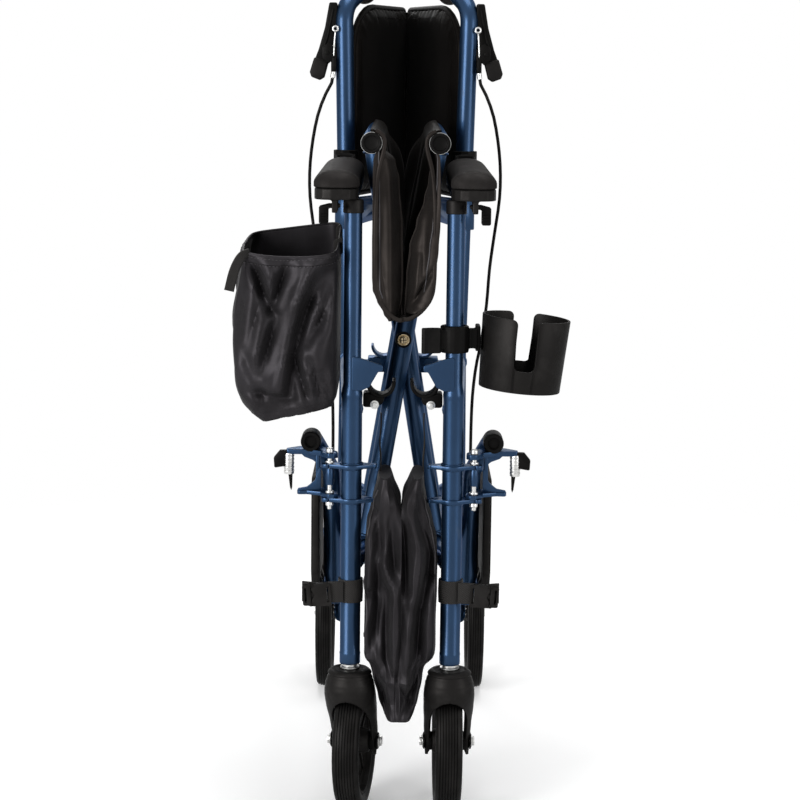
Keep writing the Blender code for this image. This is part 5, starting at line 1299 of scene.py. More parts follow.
@dataclass
class SeatHalf(Assembly):
    """Half of the seat cloth: it wraps its rail, hangs slack and folds in over the brace arms."""

    body = "seat_{}_half"
    rail_x: float = 0.0361
    rail_z: float = 0.7404
    wrap_r: float = 0.0131
    front: float = -0.0035
    length: float = 0.4045
    floor_x: float = 0.0006

    def section(self, *hang: tuple[float, float]) -> list[Vector]:
        """A line down the cloth, from places by distance in from the rail's axis and height over it."""
        turns = [math.radians(96 - 16 * step) for step in range(7)]
        wrap = [Vector((self.wrap_r * math.cos(t), 0, self.wrap_r * math.sin(t))) for t in turns]
        return smooth_path([*wrap, *(Vector((d, 0, h)) for d, h in hang)], 0.0035)

    def spot(self, share: float, y_share: float) -> Vector:
        """A point of the cloth from its shares down the section and along the rail."""
        y = self.front + y_share * self.length
        over_arms = max(step_up(y, 0.034, 0.068) * (1 - step_up(y, 0.126, 0.158)), step_up(y, 0.25, 0.284))
        shut = step_up(y, 0.335, 0.372)
        loose, held, gathered = (on_path(line, share)[0] for line in (self.loose, self.held, self.gathered))
        flat = loose.lerp(held, over_arms).lerp(gathered, shut)
        slack = hold((share - 0.22) * 2.2)
        seed = self.side.value * 7.3
        wave = noise.noise(Vector((y * 24, share * 3.1, seed)))
        fold = 1 - 2 * abs(noise.noise(Vector((y * 46, share * 1.8 + y * 9, seed + 3.7))))
        inward = flat.x + slack * (0.0026 * wave + 0.0013 * fold) * (1 - 0.6 * shut)
        z = self.rail_z + flat.z + slack * 0.0018 * wave
        return Vector((max(self.rail_x - inward, self.floor_x), y, z))

    def build(self) -> None:
        """Make the cloth, its hems, its piping and its stitches."""
        self.loose = self.section(
            (0.0112, -0.012), (0.0078, -0.024), (0.0046, -0.045), (0.0032, -0.08), (0.003, -0.12),
            (0.0036, -0.148), (0.0066, -0.164), (0.016, -0.178), (0.027, -0.186), (0.035, -0.187))
        self.held = self.section(
            (0.015, -0.01), (0.0172, -0.022), (0.0216, -0.05), (0.0266, -0.08), (0.0314, -0.11),
            (0.0338, -0.128), (0.035, -0.138), (0.0352, -0.146))
        self.gathered = self.section(
            (0.016, -0.006), (0.023, -0.014), (0.0295, -0.026), (0.0336, -0.044), (0.035, -0.064),
            (0.0352, -0.09), (0.0352, -0.12), (0.0352, -0.15))
        form, trim, thread = Form(), Form(), Form()
        area = form.web(60, 110, self.spot)
        # The seat cloth takes the darkened copy of its own cloth: painted shade.
        cloth = self.add(form, "seat_cloth_{}", Look.DARK_CLOTH, "seat_{}", wall=0.0022)
        shares = [0.02 + 0.97 * step / 46 for step in range(47)]
        trim.tube([self.spot(s, 0.0) + Vector((-0.001, -0.0008, 0)) for s in shares], 0.0024, 12, 0.6)
        trim.tube([self.spot(1.0, t / 80) for t in range(81)], 0.002, 10)
        for offset in (0.024, 0.034):
            thread.stitches([self.spot(s, offset) + Vector((-0.0014, 0, 0)) for s in shares[7:-2]])
        with_it = [self.add(trim, "seat_hem_{}", Look.TAUPE), self.add(thread, "seat_stitches_{}", Look.TRIM),
                   *self.panel()]
        girth = path_length(self.loose)

    def panel(self) -> list[bpy.types.Object]:
        """The front of the cloth, turned in towards the middle, with its piping."""
        edges, ridges, piped = {
            Side.LEFT: ([
                (0.552, 0.016, 0.008), (0.56, 0.0215, 0.005), (0.575, 0.029, 0.002), (0.586, 0.0335, 0.0012),
                (0.6, 0.0342, 0.001), (0.65, 0.0344, 0.0022), (0.7, 0.0344, 0.0062), (0.722, 0.034, 0.011),
                (0.735, 0.03, 0.023)], [
                (0.0165, 0.725, 0.0135, 0.56, -0.0045, 0.0055), (0.0265, 0.715, 0.025, 0.6, 0.0035, 0.006),
                (0.03, 0.64, 0.018, 0.56, 0.003, 0.004)], 0.24),
            Side.RIGHT: ([
                (0.56, 0.013, 0.001), (0.568, 0.0225, 0.001), (0.576, 0.029, 0.0012), (0.599, 0.033, 0.002),
                (0.63, 0.0362, 0.005), (0.655, 0.0376, 0.012), (0.68, 0.0378, 0.02), (0.7, 0.0376, 0.0245),
                (0.723, 0.0368, 0.0272), (0.735, 0.033, 0.029)], [
                (0.0275, 0.7, 0.019, 0.6, 0.004, 0.005), (0.03, 0.606, 0.01, 0.57, 0.006, 0.003),
                (0.016, 0.62, 0.011, 0.575, -0.005, 0.004)], 0.3),
        }[self.side]
        low, high = edges[0][0], edges[-1][0]

        def spot(u: float, v: float) -> Vector:
            """A point of the panel from its shares inwards and upwards."""
            z = low + (high - low) * v
            outer, inner = between(edges, z)
            x = outer + (inner - outer) * u
            crumple = noise.voronoi(Vector((x * 60, z * 14 + x * 12, 3.0 + self.side.value)))[0][0]
            y = -0.0045 + 0.026 * u ** 2.2 + sum(dent(x, z, ridge) for ridge in ridges) - 0.002 * crumple
            return Vector((x, hold(y, -0.0085, 0.0165), z))

        form, trim = Form(), Form()
        form.web(40, 90, spot)
        trim.tube([spot(piped, step / 60) + Vector((0, -0.0012, 0)) for step in range(8, 60)], 0.0008, 8)
        return [self.add(form, "seat_front_{}", Look.TAUPE, wall=0.0014),
                self.add(trim, "seat_piping_{}", Look.TRIM)]


@dataclass
class BackHalf(Assembly):
    """Padded half of the backrest and the flat bar under it, folded back from the upright."""

    body = "back_{}"
    bottom: float = 0.6585
    top: float = 0.896
    start: float = 0.0149
    length: float = 0.228
    tilt: float = 16.3

    @property
    def hinge(self) -> Matrix:
        """Place of the folded half in the chair's frame."""
        return at(upright_x(self.bottom - 0.019), UPRIGHT_Y, degrees=self.tilt)

    def rim(self, inset: float, out: float = 0.0) -> list[Vector]:
        """A closed line round the pad's edge, at a distance out from its middle plane."""
        low, high = self.bottom + inset, self.top - inset
        near, far = self.start + inset, self.start + self.length - inset
        wide, tall = 0.082, 0.058
        corner = arc((0, 0), 1.0, 90, 180, 8)
        shoulder = [(0, near + wide + wide * a, high - tall + tall * b) for a, b in corner]
        flat = bent([(0, near + 0.02, low), (0, far, low), (0, far, high - 0.004), (0, far - 0.004, high),
                     *shoulder, (0, near, low), (0, near + 0.02, low)], 0.012, 4)[:-1]
        return [Vector((out, p.y, p.z)) for p in flat]

    def build(self) -> None:
        """Make the pad, its piping and channels, and the slotted bar."""
        form, trim, thread = Form(), Form(), Form()
        form.slab([(p.y, p.z) for p in self.rim(0.0)], Facing.X, -0.0048, 0.0048, 0.003, segments=3)
        trim.tube(self.rim(0.0036), 0.0042, 12, loop=True)
        far = self.start + self.length
        trim.tube([(0, far - 0.001, self.bottom + 0.01), (0, far - 0.001, self.top - 0.006)], 0.005, 12)
        for out in (-0.0078, 0.0078):
            line = self.rim(0.015, out)
            thread.stitches([*line, line[0]], 0.0038)
        for part in (form, trim, thread):
            part.turn(self.hinge)
        # The backrest pad, its binding and its stitches take the darkened cloth: painted shade.
        pad = form.finish("back_pad_" + self.side.word, Look.DARK_CLOTH, self.side)
        inflate(pad, 0.0045, 5.0, 0.004)
        self.hang(pad, Look.DARK_CLOTH, "backrest_{}")
        self.add(trim, "back_binding_{}", Look.DARK_CLOTH)
        self.add(thread, "back_stitches_{}", Look.DARK_CLOTH)
        self.stretcher()

    def stretcher(self) -> None:
        """The flat slotted bar with a knuckle round the upright."""
        high = self.bottom - 0.0003
        low = high - 0.038
        middle, end = (low + high) / 2, self.start + self.length - 0.006
        hole = 0.0125
        form = Form()
        form.lathe(sleeve(hole, hole + 0.0024, low, high, 0.0004, 0.0004))
        bar = rounded([(hole + 0.001, low + 0.001), (end, low + 0.006), (end, high - 0.006),
                       (hole + 0.001, high - 0.001)], 0.008)
        slot = rounded([(0.1, middle - 0.0035), (0.19, middle - 0.0035), (0.19, middle + 0.0035),
                        (0.1, middle + 0.0035)], 0.0034)
        form.slab(bar, Facing.X, -0.0025, 0.0025, 0.0008, holes=[slot])
        form.turn(self.hinge)
        self.add(form, "stretcher_{}", Look.PAINT, "back_stretcher_{}")


@dataclass
class UnderSeatBag(Assembly):
    """Half of the collapsed bag under the seat, hung from the front saddle."""

    body = "bag_{}"
    low: float = 0.1165
    high: float = 0.385
    front: float = -0.027
    back: float = 0.062

    # For each side: inner and outer X for each height, the folds of the front with the depth of a ridge
    # below zero, and the line of the piping.
    shape = {
        Side.RIGHT: ([
            (0.1165, -0.0008, 0.013), (0.122, -0.0008, 0.016), (0.14, -0.0008, 0.0202),
            (0.164, -0.0008, 0.0244), (0.177, -0.0008, 0.0265), (0.186, -0.0006, 0.0385),
            (0.2, -0.0004, 0.042), (0.24, -0.0006, 0.043), (0.285, -0.0006, 0.0432), (0.315, -0.0006, 0.0412),
            (0.335, -0.0006, 0.035), (0.354, -0.0004, 0.0295), (0.366, 0.0012, 0.0265),
            (0.375, 0.0055, 0.025), (0.385, 0.0105, 0.0236)], [
            (0.006, 0.372, 0.021, 0.313, -0.01, 0.006), (0.021, 0.313, 0.012, 0.253, -0.011, 0.006),
            (0.012, 0.253, 0.007, 0.178, -0.01, 0.006), (0.016, 0.35, 0.031, 0.3, 0.014, 0.006),
            (0.031, 0.3, 0.022, 0.24, 0.016, 0.006), (0.022, 0.24, 0.019, 0.186, 0.014, 0.006),
            (0.003, 0.335, 0.007, 0.262, 0.014, 0.0055), (0.022, 0.279, 0.04, 0.277, 0.01, 0.0026),
            (0.031, 0.266, 0.035, 0.195, -0.006, 0.005), (0.024, 0.18, 0.006, 0.13, 0.014, 0.0055),
            (0.018, 0.158, 0.0, 0.164, -0.008, 0.0045), (0.013, 0.15, 0.014, 0.12, 0.008, 0.004),
            (0.001, 0.152, 0.01, 0.132, 0.008, 0.004)], [
            (0.023, 0, 0.366), (0.029, 0, 0.345), (0.036, 0, 0.308), (0.04, 0, 0.264), (0.0395, 0, 0.2)]),
        Side.LEFT: ([
            (0.1165, -0.0008, 0.0142), (0.123, -0.0008, 0.017), (0.14, -0.0008, 0.0228),
            (0.164, -0.0008, 0.0292), (0.177, -0.0008, 0.032), (0.186, -0.0006, 0.04158),
            (0.2, -0.0004, 0.04536), (0.24, -0.0006, 0.04644), (0.285, -0.0006, 0.046656),
            (0.315, -0.0006, 0.044496), (0.335, -0.0006, 0.0395), (0.35, -0.0002, 0.035),
            (0.364, 0.0026, 0.0325), (0.374, 0.007, 0.029), (0.385, 0.011, 0.0255)], [
            (0.02, 0.296, 0.006, 0.264, -0.012, 0.0055), (0.006, 0.264, 0.005, 0.176, -0.012, 0.006),
            (0.027, 0.355, 0.022, 0.3, 0.015, 0.007), (0.022, 0.286, 0.025, 0.2, 0.017, 0.006),
            (0.012, 0.345, 0.008, 0.29, 0.012, 0.006), (0.014, 0.262, 0.015, 0.184, 0.016, 0.005),
            (0.026, 0.261, 0.042, 0.259, 0.01, 0.0026), (0.034, 0.34, 0.035, 0.266, -0.006, 0.006),
            (0.036, 0.25, 0.038, 0.2, -0.006, 0.006), (0.029, 0.178, 0.012, 0.128, 0.016, 0.0055),
            (0.024, 0.167, 0.002, 0.16, -0.009, 0.0045), (0.02, 0.152, 0.013, 0.118, 0.01, 0.004),
            (0.004, 0.15, 0.006, 0.124, 0.008, 0.004)], [
            (0.025, 0, 0.372), (0.0345, 0, 0.345), (0.04, 0, 0.318), (0.041, 0, 0.285), (0.036, 0, 0.235),
            (0.042, 0, 0.2)]),
    }

    def place(self, a: float, b: float, c: float) -> Vector:
        """A point of the bag from its place on a cube."""
        table, folds, _ = self.shape[self.side]
        z = self.low + (self.high - self.low) * (c + 1) / 2
        inner, outer = between(table, z)
        back = self.back if z > 0.188 else 0.024
        middle_y, half_y = (self.front + back) / 2, (back - self.front) / 2
        inside = a if a > 0 else a * step_up(z, 0.345, 0.375)
        y = middle_y + b * half_y * math.sqrt(1 - 0.5 * inside * inside)
        room = 0.0275 + 0.0122 * (1 - step_up(y, 0.0065, 0.011)) + 0.008 * (1 - step_up(y, -0.017, -0.0125))
        outer = min(outer, room)
        middle, half = (inner + outer) / 2, (outer - inner) / 2
        seed = self.side.value * 4.0
        lump = noise.noise(Vector((z * 20, y * 26, seed)))
        crumple = 1.2 - 2.4 * noise.voronoi(Vector((a * 1.6 + z * 9, z * 14, seed + 9)))[0][0]
        narrow = math.sqrt(1 - 0.42 * b * b) * (1 - 0.08 * max(0.0, lump))
        x = middle + a * half * (narrow if a > 0 else 1 - (1 - narrow) * step_up(z, 0.345, 0.375))
        facing = max(0.0, -b) ** 2
        ends = min(1.0, 8 * (1 - abs(c)))
        press = (sum(dent(x, z, fold) for fold in folds) + 0.0042 * crumple - 0.0016 * lump) * facing * ends
        side_fold = 0.0014 * crumple * (1 - facing) * ends * max(0.0, a)
        floor = -0.0008 if y < 0.01 else 0.0004
        return Vector((max(floor, x - side_fold), max(y + press, -0.0365), z + 0.002 * lump * ends))

    def on_front(self, x: float, z: float) -> Vector:
        """A point of the front surface over a place."""
        inner, outer = between(self.shape[self.side][0], z)
        half = (outer - inner) / 2
        a = hold((x - inner - half) / (0.76 * half), -1.0, 1.0)
        return self.place(a, -1.0, 2 * (z - self.low) / (self.high - self.low) - 1) + Vector((0, -0.0007, 0))

    def strap_spot(self, u: float, v: float) -> Vector:
        """A point of the tapering strap from its two shares."""
        half = 0.0135 - 0.008 * v ** 0.8
        return Vector((SADDLE_X - 0.0006 * math.sin(v * 9), 0.0335 + half * (2 * u - 1), 0.3815 + 0.0652 * v))

    def build(self) -> None:
        """Make the body, its piping and its strap."""
        part = bmesh.new()
        bmesh.ops.create_cube(part, size=2)
        bmesh.ops.subdivide_edges(part, edges=part.edges, cuts=46, use_grid_fill=True)
        for vert in part.verts:
            vert.co = self.place(*vert.co)
        form, trim, strap = Form(), Form(), Form()
        form.weld(part)
        lobe = self.add(form, "bag_lobe_{}", Look.CLOTH, "under_seat_bag_{}")
        subdivide(lobe)
        line = smooth_path(self.shape[self.side][2], 0.003)
        trim.tube([self.on_front(p.x, p.z) for p in line], 0.001, 10)
        self.add(trim, "bag_piping_{}", Look.TRIM)
        strap.web(6, 20, self.strap_spot)
        self.add(strap, "bag_strap_{}", Look.STRAP, wall=0.0015)


@dataclass
class SideBag(Assembly):
    """Open bag on the left side: a limp shell with a slanted mouth, gussets and a bound rim."""

    left: float = 0.185
    right: float = 0.0693
    front: float = -0.042
    back: float = 0.138
    bottom: float = 0.4325
    folds: tuple[tuple[float, ...], ...] = (
        (0.078, 0.618, 0.099, 0.572, 0.014, 0.008), (0.099, 0.572, 0.116, 0.52, 0.019, 0.01),
        (0.116, 0.52, 0.118, 0.468, 0.014, 0.009), (0.092, 0.622, 0.112, 0.572, -0.007, 0.005),
        (0.112, 0.572, 0.13, 0.482, -0.009, 0.006), (0.16, 0.62, 0.141, 0.566, 0.015, 0.006),
        (0.122, 0.618, 0.139, 0.566, 0.011, 0.005), (0.141, 0.614, 0.14, 0.575, -0.007, 0.005),
        (0.112, 0.508, 0.099, 0.466, 0.01, 0.0045), (0.098, 0.512, 0.086, 0.464, 0.009, 0.0045),
        (0.086, 0.5, 0.076, 0.464, 0.008, 0.0045), (0.173, 0.602, 0.177, 0.54, 0.008, 0.007),
        (0.15, 0.545, 0.158, 0.47, -0.007, 0.01), (0.075, 0.606, 0.088, 0.548, 0.01, 0.006),
        (0.168, 0.522, 0.144, 0.46, 0.007, 0.006), (0.134, 0.56, 0.15, 0.5, 0.009, 0.006),
        (0.15, 0.585, 0.162, 0.528, 0.006, 0.005), (0.086, 0.56, 0.1, 0.53, 0.008, 0.005),
        (0.12, 0.47, 0.165, 0.48, 0.006, 0.005))

    def mouth(self, x: float, y: float) -> float:
        """Height of the rim over a place: nearly straight in front, higher behind."""
        depth = (y - self.front) / (self.back - self.front)
        out = (x - self.right) / (self.left - self.right)
        droop = 0.005 * math.sin(math.pi * out) * (1 - depth)
        return 0.6245 + 0.0035 * out * (1 - depth) + (0.0235 - 0.016 * out) * depth - droop

    def outline(self, share: float, up: float) -> Vector:
        """A point of the shell from its share round the bag and its share of the height."""
        turn = math.tau * share
        cx, cy = math.cos(turn), math.sin(turn)
        reach = (abs(cx) ** 6.6 + abs(cy) ** 6.6) ** (1 / 6.6)
        u, v = cx / reach, cy / reach
        left = 0.1715 + 0.01 * math.sin(math.pi * min(1.0, up * 0.9 + 0.08)) ** 1.2
        left -= 0.026 * (1 - min(1.0, up / 0.36)) ** 2.2
        right = self.right + 0.001 + 0.006 * (1 - min(1.0, up / 0.2)) ** 2
        middle, half = (left + right) / 2, (left - right) / 2
        tuck = 0.014 * (1 - min(1.0, up / 0.25)) ** 2
        x = middle + u * half
        y = (self.front + self.back) / 2 + v * ((self.back - self.front) / 2 - 0.004 - tuck)
        rise = 0.03 * (1 - up) ** 3 * (1 - (x - self.right) / (self.left - self.right))
        z = self.bottom + rise + (self.mouth(x, y) - self.bottom - rise) * up
        return Vector((x, y, z))

    def folded(self, share: float, up: float) -> Vector:
        """A point of the limp shell, with its folds."""
        place = self.outline(share, up)
        facing = hold((0.048 - place.y) / 0.078) ** 2
        ease = min(1.0, up * 6) * min(1.0, (1.02 - up) * 9)
        press = sum(dent(place.x, place.z, fold) for fold in self.folds)
        flow = place.x * 0.35 + place.z
        wave = noise.noise(Vector((place.x * 30, place.y * 24, place.z * 20)))
        lean = place.x + 0.22 * place.z
        crumple = 1.2 - 2.4 * noise.voronoi(Vector((lean * 30, place.y * 22, flow * 11 + 5)))[0][0]
        fine = 1.0 - 2.0 * noise.voronoi(Vector((lean * 75, place.y * 50, flow * 30 + 2)))[0][0]
        limp = (0.0026 * wave + 0.0056 * crumple + 0.0015 * fine) * min(1.0, (1.03 - up) * 8)
        flank = 1 - facing
        place.y += facing * ease * press + limp * facing - flank * 0.002 * wave
        if place.x < 0.076:
            place.x = max(place.x, self.right + 0.0006)
        else:
            place.x += flank * limp * 0.9
        place.y = max(self.front - 0.009, min(self.back - 0.001, place.y))
        return place

    def build(self) -> None:
        """Make the shell, its floor, its rim band, its seams and its hanging strap."""
        around = 200
        form, band, trim, thread, strap = (Form() for _ in range(5))
        form.web(around, 90, lambda u, v: self.folded(u, 0.018 + 0.982 * v))
        form.web(28, 28, self.floor_spot)
        form.fuse(0.0003)
        shell = self.add(form, "side_bag_shell", Look.CLOTH, "side_bag", wall=0.0015)
        middle = Vector((0.127, 0.048, 0))

        def hem(u: float, v: float) -> Vector:
            """A point of the wrinkled band outside the rim."""
            place = self.folded(u, 0.952 + 0.048 * v)
            out = (Vector((place.x, place.y, 0)) - middle).normalized()
            pucker = noise.noise(Vector((place.x * 150, place.y * 150, v * 2)))
            return place + out * (0.0013 + 0.001 * pucker)

        band.web(around, 8, hem)
        band.fuse(0.0001)
        self.add(band, "side_bag_band", Look.CLOTH, wall=0.001)
        rim = [self.folded(step / around, 1.0) for step in range(around)]
        trim.tube(rim, 0.0014, 10, loop=True)
        low = [self.folded(step / around, 0.085) for step in range(around)]
        trim.tube(low, 0.0011, 8, loop=True)
        self.add(trim, "side_bag_binding", Look.CLOTH)
        for up in (0.948, 0.984):
            run = [hem(step / around, (up - 0.952) / 0.048) for step in range(around + 1)]
            out = [p + (Vector((p.x, p.y, 0)) - middle).normalized() * 0.0009 for p in run]
            thread.stitches(out, 0.004)
        self.add(thread, "side_bag_stitches", Look.TRIM)
        path = smooth_path([(0.162, -0.033, 0.626), (0.17, -0.038, 0.6225), (0.1775, -0.042, 0.608),
                            (0.183, -0.043, 0.5865)], 0.002)

        def tab(u: float, v: float) -> Vector:
            """A point of the hanging tab."""
            centre, line = on_path(path, v)
            return centre + Vector((line.z, 0.25, -line.x)) * (0.005 * (2 * u - 1))

        strap.web(6, 20, tab)
        self.add(strap, "side_bag_tab", Look.STRAP, wall=0.002)
        self.hanger()

    def floor_spot(self, u: float, v: float) -> Vector:
        """A point of the bag's floor from its two shares."""
        a, b = 2 * u - 1, 2 * v - 1
        size = max(abs(a), abs(b))
        if size < 1e-9:
            return Vector((0.119, 0.048, self.bottom + 0.01))
        edge = self.folded((math.atan2(b, a) / math.tau) % 1.0, 0.018)
        middle = Vector((0.119, 0.048, edge.z + 0.0015))
        return middle.lerp(edge, size)

    def hanger(self) -> None:
        """Webbing loops that tie the bag to the side frame."""
        for index, (y, z, reach) in enumerate(((0.03, 0.632, 0.066), (0.112, 0.64, 0.07))):
            form = Form()
            form.slab(rounded([(reach, z - 0.011), (0.076, z - 0.0125), (0.076, z + 0.003),
                               (reach, z + 0.008)], 0.002), Facing.Y, y - 0.009, y - 0.0074, 0.0005)
            self.add(form, f"side_bag_loop_{index}", Look.STRAP)


@dataclass
class CupHolder(Assembly):
    """Tilted cup holder with a slot before and behind, and the clamp that carries it."""

    x: float = 0.13
    y: float = 0.02
    radius: float = 0.0475
    low: float = 0.4815
    high: float = 0.56
    slot_half: float = 0.011
    slot_low: float = 0.506
    lean: float = 5.0

    def wall(self) -> bmesh.types.BMesh:
        """The unrolled wall, cut along its slots and bent round."""
        mid_r = self.radius - 0.0013
        half = math.pi * mid_r
        past = half + 0.009
        w, low, high, notch = self.slot_half, self.low, self.high, self.slot_low
        flat = Form()
        flat.slab(rounded([(-past, low), (past, low), (past, notch), (half - w, notch), (half - w, high),
                           (w, high), (w, notch), (-w, notch), (-w, high), (w - half, high),
                           (w - half, notch), (-past, notch)], 0.0062, 6), Facing.Z, -0.0013, 0.0013, 0.0008)
        part = flat.mesh
        cuts = 96
        for index in range(cuts + 1):
            u = half * (2 * index / cuts - 1)
            ends = {"clear_inner": index == 0, "clear_outer": index == cuts}
            bmesh.ops.bisect_plane(part, geom=[*part.verts, *part.edges, *part.faces], dist=1e-7,
                                   plane_co=(u, 0, 0), plane_no=(1, 0, 0), **ends)
        for vert in part.verts:
            u, z, t = vert.co
            turn = math.pi / 2 + u / mid_r
            r = mid_r + t - 0.0036 * step_up(self.low + 0.012 - z, 0, 0.012)
            vert.co = (self.x + r * math.cos(turn), self.y + r * math.sin(turn), z)
        return part

    def build(self) -> None:
        """Make the cup, its floor, the clamp and the cam lever."""
        form = Form()
        form.weld(self.wall())
        form.lathe([(0.01, 0.001), (0.0412, 0.0006), (0.0424, 0.002), (0.0412, 0.0036), (0.01, 0.0034),
                    (0.01, 0.001)], at(self.x, self.y, self.low), 72)
        pin_x, pin_z = self.x - self.radius, 0.533
        form.turn(at(pin_x, 0, pin_z, "Y", self.lean) @ at(-pin_x, 0, -pin_z))
        self.add(form, "cup_shell", Look.CHARCOAL, "cup_holder")
        moulded("cup_clamp", Look.BLACK, 0.0009, 5)
        moulded("cup_clamp_lever", Look.BLACK, 0.0007, 4)


@dataclass
class Armrest(Assembly):
    """Domed armrest pad on its moulded base, with the latch under its front."""

    body = "armrest_{}"
    in_x: float = 0.0482
    out_x: float = 0.0962
    front: float = -0.036
    back: float = 0.312
    base_top: float = 0.6943

    def rim(self, inset: float) -> Outline:
        """The pad's outline, with an inset all round."""
        return rounded([(self.in_x + inset, self.front + inset), (self.out_x - inset, self.front + inset),
                        (self.out_x - inset, self.back - inset), (self.in_x + inset, self.back - inset)],
                       max(0.0006, 0.0185 - inset * 0.8), 8)

    def build(self) -> None:
        """Make the dome, the base, the latch hook and the collar."""
        name = self.side.word
        levels = ((0.0008, 0.0003), (0.0, 0.0012), (0.0, 0.0058), (0.0007, 0.0083), (0.0024, 0.011),
                  (0.0052, 0.0136), (0.0092, 0.0159), (0.014, 0.0174), (0.0188, 0.0182), (0.0226, 0.0185))
        form = Form()
        form.loft([[Vector((x, y, self.base_top + height)) for x, y in self.rim(inset)]
                   for inset, height in levels])
        pad = self.add(form, "armrest_dome_{}", Look.FOAM, "armrest_pad_{}")
        moulded("armrest_base_" + name, Look.CHARCOAL, 0.0011, 3)
        hook = Form()
        hook.slab(rounded([(0.068, 0.6725), (0.0805, 0.6725), (0.0805, 0.656), (0.0905, 0.656),
                           (0.0905, 0.6745), (0.08, 0.6772), (0.068, 0.6772)], 0.0022, 4), Facing.Y,
                  -0.0215, -0.0085, 0.001)
        hook.rod((0.0735, -0.0225, 0.6755), (0.0735, -0.0075, 0.6755), 0.0026, sides=20)
        for step in range(3):
            z = 0.6585 + 0.0035 * step
            hook.block((0.0815, -0.0224, z), (0.0895, -0.0208, z + 0.0016), 0.0005)
        self.add(hook, "latch_hook_{}", Look.BLACK, "armrest_latch_{}", body="arm_latch_{}")
        moulded("armrest_collar_" + name, Look.BLACK, 0.0008, 4)


